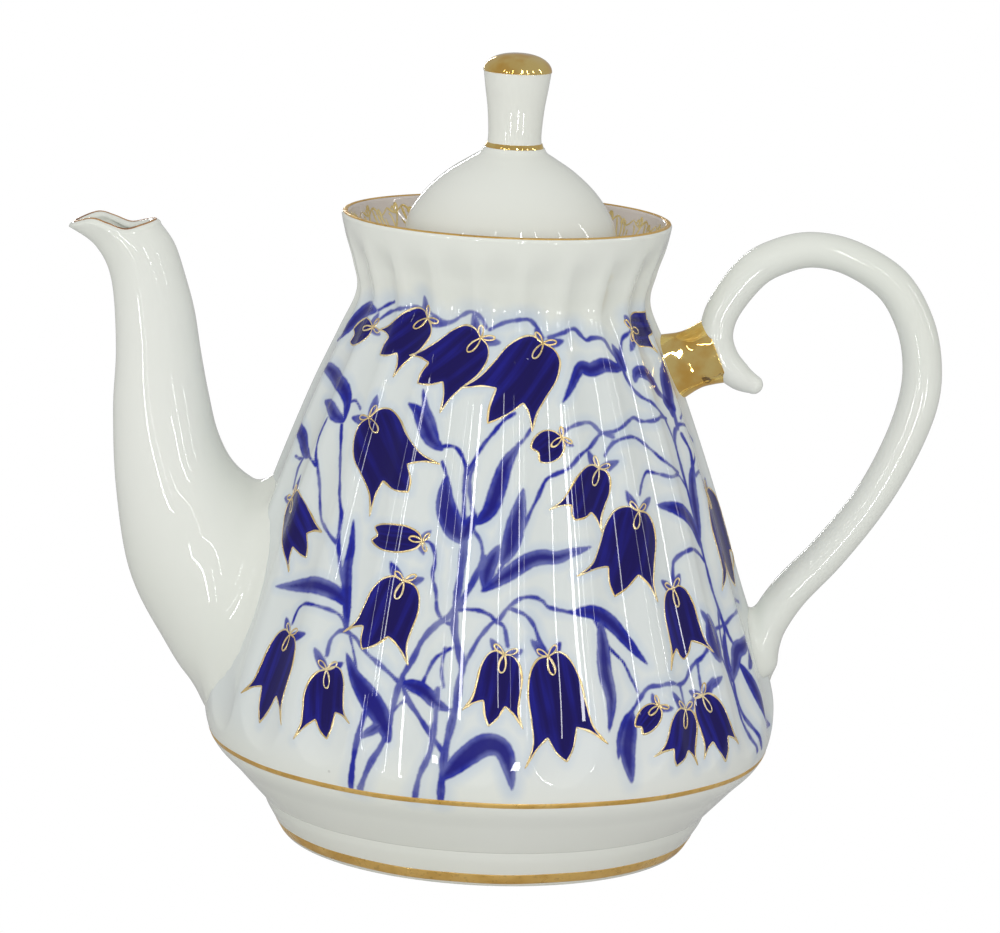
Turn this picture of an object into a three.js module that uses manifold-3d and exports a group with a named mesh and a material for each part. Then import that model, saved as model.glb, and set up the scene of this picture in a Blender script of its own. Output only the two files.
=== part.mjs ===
// A tall pear-shaped porcelain teapot: fluted body on a foot ring, flared neck, swan-neck spout,
// round loop handle held off the neck by a gilded strut, and a lift-off lid with a gilded knob.
// Millimetres, +Z up, origin on the body's axis in the plane it stands on.
// The spout points to -X and the handle to +X.
import * as THREE from 'three';
import { mergeVertices } from 'three/addons/utils/BufferGeometryUtils.js';
import Module from 'manifold-3d';

const wasm = await Module();
wasm.setup();

// ---- Driving dimensions ------------------------------------------------------------------------
const OVERALL_HEIGHT = 160;   // foot to the top of the knob
const FACETS = 44;            // sides of the large round pieces
const KNOB_FACETS = 24;
const OUTLINE_STEPS = 20;     // rows of facets up the bowl and neck
const CHAMBER_STEPS = 18;
const RIM_Z = 126.6;          // top of the flared neck
const RIM_R = 33.2;
const WALL = 3.0;             // thrown and cast wall
const GAP = 0.3;              // joint line between pieces that touch
const FILM = 0.3;             // thickness given to fired-on gold
const BODY_FOOT_Z = 8.0;      // where the plain lower bowl meets the foot
const BASE_JOINT_Z = 20.6;    // joint line between base and fluted body, under the shoulder's gold
const NECK_JOINT_Z = 110.6;   // joint line between fluted body and neck, at the waist
const FLOOR_Z = 11.5;         // inside floor of the tea chamber
const FLOOR_R = 43;           // radius of that floor
const FOOT_REST_R = [38.2, 41.0];   // unglazed edge that the pot stands on
const FOOT_OUTSIDE = [[FOOT_REST_R[1], 0], [41.8, 0.9], [43.2, 3.2], [44.8, 6]];
const FOOT_TOP_R = 45.6;
const FOOT_INSIDE = [[36, BODY_FOOT_Z], [37.4, 2], [FOOT_REST_R[0], 0]];

// Bowl and neck outline over the crests of the flutes, as [radius, height].
const BODY_OUTLINE = [
  [45.9, BODY_FOOT_Z], [51.6, 14.2], [56.6, 20], [58.2, 28], [57, 37], [51, 55], [44.9, 73],
  [38.1, 91], [32.6, 103.2], [29.1, 111], [30.4, 117], [32.2, 122.2], [RIM_R, RIM_Z],
];
const FLUTES = 22;
const FLUTE_DEPTH = 0.022;    // share of the local radius
const FLUTE_SPAN = [24.5, 123.8];   // lowest and highest point of each rounded flute
const FLUTE_END = [9, 4];     // length of the rounded lower and upper end
const FLUTE_STEPS = 4;        // facets across one flute

// The ledge inside the neck that carries the lid.
const SEAT_Z = 114.6;
const SEAT_R = 22.4;
const SEAT_THICKNESS = 3.2;
const NOTCH_CLEARANCE = 1.6;  // how much wider and deeper the ledge's notch is than the lid's lug

// Spout sections: [outer edge x, z, inner edge x, z, half width].
const SPOUT_STATIONS = [
  [-42, 22, -36, 64, 20],
  [-58.6, 27.5, -47, 69.2, 21],
  [-67.8, 39, -53.6, 73.6, 18],
  [-74.4, 51.5, -57.3, 80, 14],
  [-77.6, 68, -59.6, 88.5, 10.8],
  [-78.7, 84, -61.4, 97, 8.9],
  [-78.5, 97, -62.9, 105, 8.0],
  [-79.8, 110.5, -65.0, 112, 7.6],
  [-83.2, 117.3, -67.3, 118.2, 7.4],
  [-88.7, 121.4, -70.2, 123.0, 7.2],
];
const SPOUT_WALL = 1.8;
const SPOUT_STEPS = 21;
const SPOUT_SIDES = 20;
const CHANNEL_SIDES = 16;
const STRAINER_ROWS = [[42, 3], [48.5, 4], [55, 3]];   // height and number of holes
const STRAINER_PITCH = 7;
const STRAINER_R = 1.8;
const STRAINER_X = [-64, -38];      // from outside the wall to inside it
const STRAINER_SIDES = 8;

// Handle from the thumb spur over the loop to the lower end: [x, z, half thickness, half width].
const HANDLE_STATIONS = [
  [51.0, 95.5, 1.1, 1.2], [47.2, 97.2, 2.8, 3.4], [43.8, 100.6, 3.4, 4.2], [42.3, 105.4, 3.5, 4.4],
  [43.7, 111.2, 3.6, 4.4], [48.8, 118.5, 3.8, 4.4], [54.2, 121.9, 3.8, 4.5], [60.6, 123.5, 3.7, 4.6],
  [68.4, 122.2, 3.7, 4.7], [76.8, 117.4, 3.9, 4.8], [81.7, 110, 4.0, 4.9], [83.8, 101.9, 4.1, 5],
  [83.5, 93.6, 4.2, 5], [80.3, 83.5, 4.0, 4.9], [74.9, 72.7, 3.8, 4.8], [67.3, 62, 3.9, 4.8],
  [60.1, 53.6, 4.0, 5], [56.2, 47.2, 4.0, 5.8], [54.6, 40.6, 3.6, 6.2], [54.4, 35.2, 3.2, 5.6],
];
const HANDLE_STEPS = 38;
const HANDLE_SIDES = 12;
const HANDLE_ROWS_AT_STRUT = 14;    // the rows from the spur round to beyond the strut

// Gilded strut between neck and handle: [distance along it, half height, half width].
const STRUT_START = [32.5, 97.9];
const STRUT_RISE = THREE.MathUtils.degToRad(23);
const STRUT_STATIONS = [
  [0, 7.0, 4.6], [2.6, 6.6, 4.2], [5.4, 6.1, 3.9], [8.2, 6.3, 4.1], [11, 6.7, 4.4],
];
const STRUT_STEPS = 6;
const STRUT_SIDES = 20;

// Lid outline over its outside, from the flange's lower edge to the knob.
const LID_BASE_Z = SEAT_Z + GAP;
const FLANGE_OUTLINE = [
  [25, LID_BASE_Z], [25.4, LID_BASE_Z + 0.6], [25.1, LID_BASE_Z + 1.8], [22.6, LID_BASE_Z + 2.4],
  [21.5, LID_BASE_Z + 3.6],
];
const DOME_OUTLINE = [
  [21.2, 120.5], [21.2, 124], [20.5, 127], [18.8, 130], [16, 133.4], [12.3, 136.6], [8.6, 139],
  [6.6, 140.2],
];
const DOME_STEPS = 9;
const DOME_INSIDE_STEPS = 7;
const DOME_WALL = 2.6;
const SKIRT_R = [19.2, 21.7];
const SKIRT_DEPTH = 8;
const VENT_R = 1.4;
const VENT_AT = [12.3, 132];  // sideways from the lid's axis, and height
const VENT_LENGTH = 30;
const VENT_SIDES = 10;
const LUG_HEIGHT = 2.4;
const LUG_Z = SEAT_Z - SKIRT_DEPTH + 2.6;
const LUG_WIDTH = 8;
const LUG_REACH = 1.6;        // how far the locking lug stands out of the skirt
const KNOB_BASE_Z = 140.8;
const CAP_Z = 156.4;          // lower edge of the gilded cap
const CAP_R = 6.9;
const CAP_STEPS = 5;
const KNOB_OUTLINE = [
  [6.0, KNOB_BASE_Z], [5.4, 142.4], [5.3, 144.6], [5.7, 149], [6.3, 153], [6.7, CAP_Z],
];
const KNOB_STEPS = 8;

// Gilded lines: [inner radius, outer radius] or [lower edge, upper edge].
const RIM_GILDING_R = [RIM_R - 1.6, RIM_R - 0.4];
const SHOULDER_GILDING_Z = [20.1, 21.2];
const FOOT_GILDING_Z = [0.9, 3.1];
const KNOB_RING = [
  [6.3, KNOB_BASE_Z - GAP], [6.8, KNOB_BASE_Z - GAP], [6.7, KNOB_BASE_Z + 0.5], [6.3, KNOB_BASE_Z + 0.5],
];

// ---- Materials ---------------------------------------------------------------------------------
const porcelain = new THREE.MeshStandardMaterial({ color: 0xe3e6dd, roughness: 0.12, metalness: 0 });
const gold = new THREE.MeshStandardMaterial({ color: 0xc9a24f, roughness: 0.2, metalness: 1 });

// ---- Solids ------------------------------------------------------------------------------------
// A closed BufferGeometry as a solid, turned inside out if its faces point in.
function solidOf(geometry) {
  geometry.deleteAttribute('normal');
  geometry.deleteAttribute('uv');
  const merged = mergeVertices(geometry, 1e-4);
  const positions = new Float32Array(merged.attributes.position.array);
  const triangles = new Uint32Array(merged.index.array);
  if (signedVolume(positions, triangles) < 0) {
    for (let i = 0; i < triangles.length; i += 3) {
      [triangles[i + 1], triangles[i + 2]] = [triangles[i + 2], triangles[i + 1]];
    }
  }
  return new wasm.Manifold(new wasm.Mesh({ numProp: 3, vertProperties: positions, triVerts: triangles }));
}

function signedVolume(positions, triangles) {
  const [a, b, c] = [new THREE.Vector3(), new THREE.Vector3(), new THREE.Vector3()];
  let volume = 0;
  for (let i = 0; i < triangles.length; i += 3) {
    a.fromArray(positions, 3 * triangles[i]);
    b.fromArray(positions, 3 * triangles[i + 1]);
    c.fromArray(positions, 3 * triangles[i + 2]);
    volume += a.dot(b.cross(c)) / 6;
  }
  return volume;
}

function meshOf(name, solid, material) {
  const { vertProperties, triVerts } = solid.getMesh();
  const geometry = new THREE.BufferGeometry();
  geometry.setAttribute('position', new THREE.BufferAttribute(vertProperties, 3));
  geometry.setIndex(new THREE.BufferAttribute(triVerts, 1));
  geometry.computeVertexNormals();
  const mesh = new THREE.Mesh(geometry, material);
  mesh.name = name;
  return mesh;
}

// A solid of revolution about Z from [radius, height] points that start and end on the axis,
// or that close on themselves.
function revolve(points, segments) {
  const geometry = new THREE.LatheGeometry(points.map(([r, z]) => new THREE.Vector2(r, z)), segments);
  return solidOf(geometry.rotateX(Math.PI / 2));
}

function ring(points, segments) {
  return revolve([...points, points[0]], segments);
}

// A solid through rings of equally many points, closed by a fan at each end.
function loft(rings) {
  const count = rings[0].length;
  const vertices = rings.flat();
  const index = [];
  for (let i = 0; i + 1 < rings.length; i += 1) {
    for (let j = 0; j < count; j += 1) {
      const a = i * count + j;
      const b = i * count + ((j + 1) % count);
      index.push(a, b, b + count, a, b + count, a + count);
    }
  }
  for (const [start, flip] of [[0, true], [(rings.length - 1) * count, false]]) {
    const centre = vertices.length;
    const middle = new THREE.Vector3();
    for (let j = 0; j < count; j += 1) middle.addScaledVector(vertices[start + j], 1 / count);
    vertices.push(middle);
    for (let j = 0; j < count; j += 1) {
      const a = start + j;
      const b = start + ((j + 1) % count);
      index.push(...(flip ? [centre, b, a] : [centre, a, b]));
    }
  }
  const geometry = new THREE.BufferGeometry().setFromPoints(vertices);
  geometry.setIndex(index);
  return solidOf(geometry);
}

// A smooth run through rows of numbers: returns steps + 1 rows.
function smoothRows(rows, steps) {
  const last = rows.length - 1;
  return Array.from({ length: steps + 1 }, (_, k) => {
    const t = (k / steps) * last;
    const i = Math.min(Math.floor(t), last - 1);
    const at = (n) => rows[THREE.MathUtils.clamp(n, 0, last)];
    return rows[0].map((_, c) => {
      const [p0, p1, p2, p3] = [at(i - 1)[c], at(i)[c], at(i + 1)[c], at(i + 2)[c]];
      const u = t - i;
      const slopeIn = (p2 - p0) / 2;
      const slopeOut = (p3 - p1) / 2;
      const cubic = 2 * p1 - 2 * p2 + slopeIn + slopeOut;
      const square = -3 * p1 + 3 * p2 - 2 * slopeIn - slopeOut;
      return ((cubic * u + square) * u + slopeIn) * u + p1;
    });
  });
}

// ---- Bowl --------------------------------------------------------------------------------------
const outlineCurve = new THREE.SplineCurve(BODY_OUTLINE.map(([r, z]) => new THREE.Vector2(r, z)));

// Outline points moved outwards by a distance square to the outline.
function outlineRows(steps, offset) {
  return Array.from({ length: steps + 1 }, (_, k) => {
    const u = k / steps;
    const point = outlineCurve.getPointAt(u);
    const tangent = outlineCurve.getTangentAt(u);
    return [point.x + tangent.y * offset, point.y - tangent.x * offset];
  });
}

// Depth of the scooped flutes at an angle from +X: a ridge lies under the handle and the spout.
function fluteDepth(angle, z, radius) {
  const turn = (angle * FLUTES) / (2 * Math.PI);
  const across = 2 * (turn - Math.floor(turn) - 0.5);
  const [low, high] = FLUTE_SPAN;
  const below = Math.max(0, (low + FLUTE_END[0] - z) / FLUTE_END[0]);
  const above = Math.max(0, (z - high + FLUTE_END[1]) / FLUTE_END[1]);
  return FLUTE_DEPTH * radius * Math.max(0, 1 - across ** 2 - below ** 2 - above ** 2);
}

function bowlOuter(grow) {
  const columns = FLUTES * FLUTE_STEPS;
  return loft(outlineRows(OUTLINE_STEPS, grow).map(([r, z]) => Array.from({ length: columns }, (_, j) => {
    const angle = (2 * Math.PI * j) / columns;
    const radius = r - fluteDepth(angle, z, r);
    return new THREE.Vector3(radius * Math.cos(angle), radius * Math.sin(angle), z);
  })));
}

// Everything inside the wall, from the floor up, open at the top for the lid.
function chamber() {
  const wall = outlineRows(CHAMBER_STEPS, -WALL);
  const seatUnderside = SEAT_Z - SEAT_THICKNESS;
  const below = wall.filter(([, z]) => z > FLOOR_Z + 3 && z < seatUnderside - 2);
  const above = wall.filter(([, z]) => z > SEAT_Z + 1);
  const [mouthR] = wall.at(-1);
  return revolve([
    [0, FLOOR_Z], [FLOOR_R, FLOOR_Z], ...below,
    [SEAT_R + 1.5, seatUnderside], [SEAT_R, seatUnderside + 1], [SEAT_R, SEAT_Z],
    [above[0][0] - 0.4, SEAT_Z], ...above, [mouthR + 1, RIM_Z + 2], [0, RIM_Z + 2],
  ], FACETS);
}

// Straight round cutter along X, used for the strainer holes.
function drillAlongX(y, z, radius, from, to) {
  const geometry = new THREE.CylinderGeometry(radius, radius, to - from, STRAINER_SIDES);
  return solidOf(geometry.rotateZ(Math.PI / 2).translate((from + to) / 2, y, z));
}

// The hollow bowl is made in three stacked pieces: plain lower bowl, fluted body and neck.
const hollowBowl = bowlOuter(0).subtract(chamber());

function bowlBetween(low, high) {
  return hollowBowl.trimByPlane([0, 0, 1], low).trimByPlane([0, 0, -1], -high);
}

function bodyShell() {
  let solid = bowlBetween(BASE_JOINT_Z, NECK_JOINT_Z - GAP);
  for (const [z, count] of STRAINER_ROWS) {
    for (let i = 0; i < count; i += 1) {
      const y = (i - (count - 1) / 2) * STRAINER_PITCH;
      solid = solid.subtract(drillAlongX(y, z, STRAINER_R, ...STRAINER_X));
    }
  }
  return solid;
}

// The flared neck with the ledge that carries the lid, notched for the lid's lug.
function neck() {
  const notch = new THREE.BoxGeometry(
    2 * LUG_REACH + NOTCH_CLEARANCE,
    LUG_WIDTH + NOTCH_CLEARANCE,
    SEAT_THICKNESS + 2,
  );
  const notched = solidOf(notch.translate(-SEAT_R, 0, SEAT_Z - SEAT_THICKNESS / 2));
  return bowlBetween(NECK_JOINT_Z, RIM_Z + 1).subtract(notched);
}

// The turned base: plain lower bowl, floor of the tea chamber and the ring that the pot stands on.
function footBase() {
  const overlap = BODY_FOOT_Z + 0.5;
  const foot = revolve([
    [0, BODY_FOOT_Z], ...FOOT_INSIDE, ...FOOT_OUTSIDE, [FOOT_TOP_R, BODY_FOOT_Z], [FOOT_TOP_R, overlap],
    [0, overlap],
  ], FACETS);
  return foot.add(bowlBetween(BODY_FOOT_Z, BASE_JOINT_Z - GAP));
}

// ---- Spout and handle --------------------------------------------------------------------------
// Oval rings whose long axis joins the spout's two edges; inset is the wall taken off all round.
function spoutRings(rows, inset, sides) {
  return rows.map(([ox, oz, ix, iz, half]) => {
    const middle = new THREE.Vector3((ox + ix) / 2, 0, (oz + iz) / 2);
    const reach = new THREE.Vector3(ix - ox, 0, iz - oz).multiplyScalar(0.5);
    const share = 1 - inset / reach.length();
    return Array.from({ length: sides }, (_, j) => {
      const angle = (2 * Math.PI * j) / sides;
      const point = middle.clone().addScaledVector(reach, share * Math.cos(angle));
      return point.setY((half - inset) * Math.sin(angle));
    });
  });
}

const spoutRows = smoothRows(SPOUT_STATIONS, SPOUT_STEPS);

// The same rows carried a little past the lip, to cut right through it.
function pastLip(rows, distance) {
  const end = [...rows.at(-1)];
  end[1] += distance;
  end[3] += distance;
  return [...rows, end];
}

function spout() {
  const channel = loft(spoutRings(pastLip(spoutRows, 3), SPOUT_WALL, CHANNEL_SIDES));
  return loft(spoutRings(spoutRows, 0, SPOUT_SIDES)).subtract(channel).subtract(bowlOuter(GAP));
}

function spoutLipGilding() {
  const lip = spoutRows.at(-1);
  const raised = (distance) => pastLip([lip], distance)[1];
  const band = [raised(GAP), raised(GAP + FILM)];
  const opening = [raised(0), raised(2)];
  const outside = loft(spoutRings(band, 0.5, SPOUT_SIDES));
  return outside.subtract(loft(spoutRings(opening, SPOUT_WALL - 0.4, SPOUT_SIDES)));
}

// Oval rings square to a centre line in the XZ plane.
function handleRings(rows, grow, sides) {
  return rows.map(([x, z, thick, wide], i) => {
    const before = rows[Math.max(i - 1, 0)];
    const after = rows[Math.min(i + 1, rows.length - 1)];
    const along = new THREE.Vector2(after[0] - before[0], after[1] - before[1]).normalize();
    return Array.from({ length: sides }, (_, j) => {
      const angle = (2 * Math.PI * j) / sides;
      const out = (thick + grow) * Math.cos(angle);
      return new THREE.Vector3(x + along.y * out, (wide + grow) * Math.sin(angle), z - along.x * out);
    });
  });
}

const handleRows = smoothRows(HANDLE_STATIONS, HANDLE_STEPS);

function handleLoop() {
  return loft(handleRings(handleRows, 0, HANDLE_SIDES)).subtract(bowlOuter(GAP));
}

function handleStrut() {
  const [startX, startZ] = STRUT_START;
  const [dx, dz] = [Math.cos(STRUT_RISE), Math.sin(STRUT_RISE)];
  const rows = smoothRows(STRUT_STATIONS, STRUT_STEPS).map(([along, high, wide]) => [
    startX + along * dx, startZ + along * dz, high, wide,
  ]);
  const nearHandle = handleRows.slice(0, HANDLE_ROWS_AT_STRUT);
  return loft(handleRings(rows, 0, STRUT_SIDES))
    .subtract(bowlOuter(GAP))
    .subtract(loft(handleRings(nearHandle, GAP, HANDLE_SIDES)))
    .decompose()
    .sort((a, b) => b.volume() - a.volume())[0];
}

// ---- Gilded lines ------------------------------------------------------------------------------
// A thin band that follows a round outline between two heights.
function outlineBand(radiusAt, low, high) {
  return ring([
    [radiusAt(low) + GAP, low], [radiusAt(low) + GAP + FILM, low],
    [radiusAt(high) + GAP + FILM, high], [radiusAt(high) + GAP, high],
  ], FACETS);
}

// ---- Lid ---------------------------------------------------------------------------------------
const domeCurve = new THREE.SplineCurve(DOME_OUTLINE.map(([r, z]) => new THREE.Vector2(r, z)));

function lidDome() {
  const outside = domeCurve.getSpacedPoints(DOME_STEPS).map((point) => [point.x, point.y]);
  const inside = [];
  for (let k = 0; k < DOME_INSIDE_STEPS; k += 1) {
    const point = domeCurve.getPointAt(k / DOME_INSIDE_STEPS);
    const tangent = domeCurve.getTangentAt(k / DOME_INSIDE_STEPS);
    inside.unshift([point.x - tangent.y * DOME_WALL, point.y + tangent.x * DOME_WALL]);
  }
  const top = outside.at(-1)[1];
  const shell = revolve([
    [0, inside[0][1]], ...inside, [SKIRT_R[0] - 0.6, LID_BASE_Z], ...FLANGE_OUTLINE, ...outside, [0, top],
  ], FACETS);
  const vent = new THREE.CylinderGeometry(VENT_R, VENT_R, VENT_LENGTH, VENT_SIDES);
  return shell.subtract(solidOf(vent.rotateX(Math.PI / 2).translate(0, ...VENT_AT)));
}

function lidSkirt() {
  const [inner, outer] = SKIRT_R;
  const top = LID_BASE_Z - GAP;
  const low = top - SKIRT_DEPTH;
  return ring([[inner, low], [outer, low], [outer, top], [inner, top]], FACETS);
}

// The lug stands out of the skirt below the ledge and passes the notch when the lid is lifted.
function lidLockLug() {
  const length = LUG_REACH - GAP;
  const geometry = new THREE.BoxGeometry(length, LUG_WIDTH, LUG_HEIGHT);
  return solidOf(geometry.translate(-(SKIRT_R[1] + GAP + length / 2), 0, LUG_Z));
}

function lidKnob() {
  const side = smoothRows(KNOB_OUTLINE, KNOB_STEPS);
  return revolve([[0, KNOB_BASE_Z], ...side, [0, CAP_Z]], KNOB_FACETS);
}

function knobCap() {
  const low = CAP_Z + GAP;
  const height = OVERALL_HEIGHT - low;
  const dome = Array.from({ length: CAP_STEPS }, (_, k) => {
    const angle = (Math.PI / 2) * (k / CAP_STEPS);
    return [CAP_R * Math.cos(angle), low + height * Math.sin(angle)];
  });
  return revolve([[0, low], ...dome, [0, OVERALL_HEIGHT]], KNOB_FACETS);
}

// ---- Assembly ----------------------------------------------------------------------------------
function radiusOf(outline) {
  return (z) => {
    const i = outline.findIndex(([, height]) => height >= z);
    const [[r0, z0], [r1, z1]] = [outline[i - 1], outline[i]];
    return r0 + ((r1 - r0) * (z - z0)) / (z1 - z0);
  };
}

const bodyRadius = radiusOf(outlineRows(4 * OUTLINE_STEPS, 0));
const footRadius = radiusOf(FOOT_OUTSIDE);
const [rimGildingIn, rimGildingOut] = RIM_GILDING_R;
const rimGilding = ring([
  [rimGildingIn, RIM_Z + GAP], [rimGildingOut, RIM_Z + GAP],
  [rimGildingOut, RIM_Z + GAP + FILM], [rimGildingIn, RIM_Z + GAP + FILM],
], FACETS);

const pot = new THREE.Group();
pot.add(
  meshOf('body_shell', bodyShell(), porcelain),
  meshOf('neck', neck(), porcelain),
  meshOf('foot_base', footBase(), porcelain),
  meshOf('spout', spout(), porcelain),
  meshOf('handle_loop', handleLoop(), porcelain),
  meshOf('handle_strut', handleStrut(), gold),
  meshOf('rim_gilding', rimGilding, gold),
  meshOf('shoulder_gilding', outlineBand(bodyRadius, ...SHOULDER_GILDING_Z), gold),
  meshOf('foot_gilding', outlineBand(footRadius, ...FOOT_GILDING_Z), gold),
  meshOf('spout_lip_gilding', spoutLipGilding(), gold),
);

const lid = new THREE.Group();
lid.add(
  meshOf('lid_dome', lidDome(), porcelain),
  meshOf('lid_skirt', lidSkirt(), porcelain),
  meshOf('lid_lock_lug', lidLockLug(), porcelain),
  meshOf('lid_knob', lidKnob(), porcelain),
  meshOf('knob_cap_gilding', knobCap(), gold),
  meshOf('knob_ring_gilding', ring(KNOB_RING, KNOB_FACETS), gold),
);

const group = new THREE.Group();
group.add(pot, lid);
export default group;
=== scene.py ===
"""Looks of a gzhel style porcelain teapot: white glazed porcelain, cobalt bellflowers, fired-on gold."""
import math

import bpy
import numpy as np
from mathutils import Matrix, Vector


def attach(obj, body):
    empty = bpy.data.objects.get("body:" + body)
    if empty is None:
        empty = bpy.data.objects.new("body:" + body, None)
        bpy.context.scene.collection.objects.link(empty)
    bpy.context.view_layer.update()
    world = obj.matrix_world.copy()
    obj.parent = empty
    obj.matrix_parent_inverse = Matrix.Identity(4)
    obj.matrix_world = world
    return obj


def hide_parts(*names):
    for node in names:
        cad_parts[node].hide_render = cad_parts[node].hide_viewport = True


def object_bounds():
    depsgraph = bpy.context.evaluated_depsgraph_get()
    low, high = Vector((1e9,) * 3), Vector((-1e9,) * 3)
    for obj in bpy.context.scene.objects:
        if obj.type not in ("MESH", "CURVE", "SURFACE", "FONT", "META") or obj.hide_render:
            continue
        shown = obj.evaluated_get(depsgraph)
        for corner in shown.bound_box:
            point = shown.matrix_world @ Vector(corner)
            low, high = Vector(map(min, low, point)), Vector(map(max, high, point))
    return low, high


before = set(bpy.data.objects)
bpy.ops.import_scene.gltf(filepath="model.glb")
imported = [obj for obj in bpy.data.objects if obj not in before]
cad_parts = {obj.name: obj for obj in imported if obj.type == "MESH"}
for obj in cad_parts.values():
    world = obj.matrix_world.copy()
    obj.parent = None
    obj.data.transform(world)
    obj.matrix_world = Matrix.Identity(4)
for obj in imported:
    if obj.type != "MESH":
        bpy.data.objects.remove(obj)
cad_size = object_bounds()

# Every length below is in millimetres of the real pot; MM turns it into the frame's metres.
MM = (cad_size[1].z - cad_size[0].z) / 160
WHOLE_TURN = 360

# ---- Shapes ------------------------------------------------------------------------------------
BODY_FOOT_RADIUS, BODY_FOOT_Z, RIM_Z = 45.2, 8, 126.6
BODY_OUTLINE = [
    (45.7, BODY_FOOT_Z), (51.4, 14.2), (56.5, 20), (58.1, 28), (56.6, 37), (50.7, 55), (44.8, 73),
    (38.1, 91), (32.8, 103.2), (29.6, 111), (30.6, 117), (32.2, 122.2), (33.1, RIM_Z),
]
WALL, LIP_WALL, LIP_RISE = 3, 1.5, 0.8
LEAN = -0.8
FLUTES, FLUTE_DEPTH = 22, 0.022
FLUTE_SPAN, FLUTE_END = (24.5, 125.8), (9, 8)
RIDGE_SOFTNESS = 0.3
NECK_FLUTES_FROM, NECK_FLUTES_RISE, NECK_FLUTES_EXTRA = 100, 12, 0.5
COLUMNS, ROWS = 880, 340
INNER_COLUMNS, BAND_COLUMNS = 220, 320
# The last number counts the rows of the lip's inner half that get the painted shade of the neck.
NECK_ROWS, LIP_ROWS, SHADED_LIP_ROWS = 22, 11, 5
LEDGE_OUTLINE = [
    (26.2, 115), (25.6, 114.65), (24, 114.6), (22.9, 114.6), (22.45, 114.3), (22.4, 113.6), (22.4, 112.2),
    (22.8, 111.5), (23.8, 111.2),
]
BOWL_INSIDE_SPAN, BOWL_INSIDE_ROWS = (108.5, 19), 46
BOWL_FLOOR = [(51, 15.6), (48.6, 13.2), (45, 11.9), (40, 11.5), (20, 11.5)]
FOOT_OUTLINE = [
    (35.8, 8.2), (36.4, 6), (37.4, 2), (38.0, 0.5), (38.7, 0), (40.6, 0), (41.3, 0.3), (41.9, 1.2),
    (43.2, 3.4), (44.6, 5.8), (45.3, 7.4), (45.6, 8.2),
]
SPOUT_STATIONS = [
    (-42, 22, -36, 64, 20), (-58.6, 27.5, -47, 69.2, 21), (-67.8, 39, -53.6, 73.6, 18),
    (-74.4, 51.5, -57.3, 80, 14), (-77.6, 68, -59.6, 88.5, 10.8), (-78.7, 84, -61.4, 97, 8.9),
    (-78.5, 97, -62.9, 105, 8.0), (-79.8, 110.5, -65.0, 112, 7.6), (-83.2, 117.3, -67.3, 118.2, 7.4),
    (-88.7, 120.9, -70.2, 122.2, 7.2),
]
SPOUT_WALL, SPOUT_SIDES, SPOUT_ROWS = 1.8, 96, 170
LIP_THICKNESS, LIP_CREST = 2.6, 1.0
STRAINER_ROWS, HOLE_PITCH, HOLE_RADIUS = [(42, 3), (48.5, 4), (55, 3)], 7, 1.8
DRILL_SPAN, DRILL_SIDES = (-64, -38), 24
LIP_WAVE = [(0, 0), (0.25, 1.2), (0.45, 0.2), (0.66, -1.1), (0.86, -0.5), (1, 0.1)]
LIP_WAVE_DEPTH = 14
LIP_LINE_INSET, LIP_LINE_DROP = 0.42, 0.03
HANDLE_STATIONS = [
    (50.3, 95.6, 2.0, 2.2), (47.2, 97.2, 2.9, 3.5), (43.8, 100.6, 3.4, 4.2), (42.3, 105.4, 3.5, 4.4),
    (43.7, 111.2, 3.6, 4.4), (48.8, 118.5, 3.8, 4.4), (54.2, 121.9, 3.8, 4.5), (60.6, 123.5, 3.7, 4.6),
    (68.4, 122.2, 3.7, 4.7), (76.8, 117.4, 3.9, 4.8), (81.7, 110, 4.0, 4.9), (83.8, 101.9, 4.1, 5),
    (83.5, 93.6, 4.2, 5), (80.3, 83.5, 4.0, 4.9), (74.9, 72.7, 3.8, 4.8), (67.3, 62, 3.9, 4.8),
    (60.1, 53.6, 4.0, 5), (56.2, 47.2, 4.0, 5.8), (55.0, 42.6, 3.8, 6.0), (54.9, 39.0, 3.6, 5.7),
]
HANDLE_ROWS, HANDLE_SIDES, HANDLE_SLIMMING = 230, 56, (1, 1, 0.96, 0.97)
STRUT_START, STRUT_RISE = (31.0, 97.3), math.radians(23)
STRUT_STATIONS = [(0, 7.6, 5.2), (3, 6.9, 4.5), (6.8, 6.1, 3.9), (9.6, 6.3, 4.1), (12.6, 6.9, 4.6)]
STRUT_ROWS, STRUT_SIDES = 40, 72
DOME_OUTLINE = [
    (24.9, 114.9), (25.4, 115.5), (25.2, 116.6), (23.2, 117.2), (21.6, 118.4), (21.25, 120.5),
    (21.2, 124), (20.5, 127), (18.8, 130), (16, 133.4), (12.3, 136.6), (8.6, 139), (6.7, 140.2),
    (6.1, 141.2),
]
DOME_INSIDE = [
    (5, 137.2), (8.5, 135.6), (12.6, 132.6), (16.2, 128.6), (18.2, 124), (18.6, 118), (18.6, 114.9),
]
VENT_WALL = [(0.4, 141.2), (0.4, 137.6)]
KNOB_OUTLINE = [(5.9, 140.6), (5.4, 142.4), (5.35, 144.6), (5.7, 149), (6.3, 153), (6.75, 156.3)]
KNOB_TOP = (6.3, 156.6)
KNOB_RING_OUTLINE = [(5.2, 140.8), (6.02, 140.8), (5.84, 141.4), (5.6, 142.1), (5.2, 142.2)]
CAP_Z, TOP_Z = 156.4, 160
CAP_SEAT, CAP_RADIUS, CAP_FULLNESS = (6.4, CAP_Z - 0.15), 6.86, 0.86
SKIRT_OUTLINE = [(21.7, 115.2), (21.7, 107.4), (21.1, 106.6), (19.8, 106.6), (19.2, 107.4), (19.2, 115.2)]

# ---- Painting plan -----------------------------------------------------------------------------
# Places on the body are (degrees round it, height): 0 faces the front, + goes towards the handle.
# VIEW_TURN is how far the camera, and the painting with it, stands round from the front.
VIEW_TURN = 1.5
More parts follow.
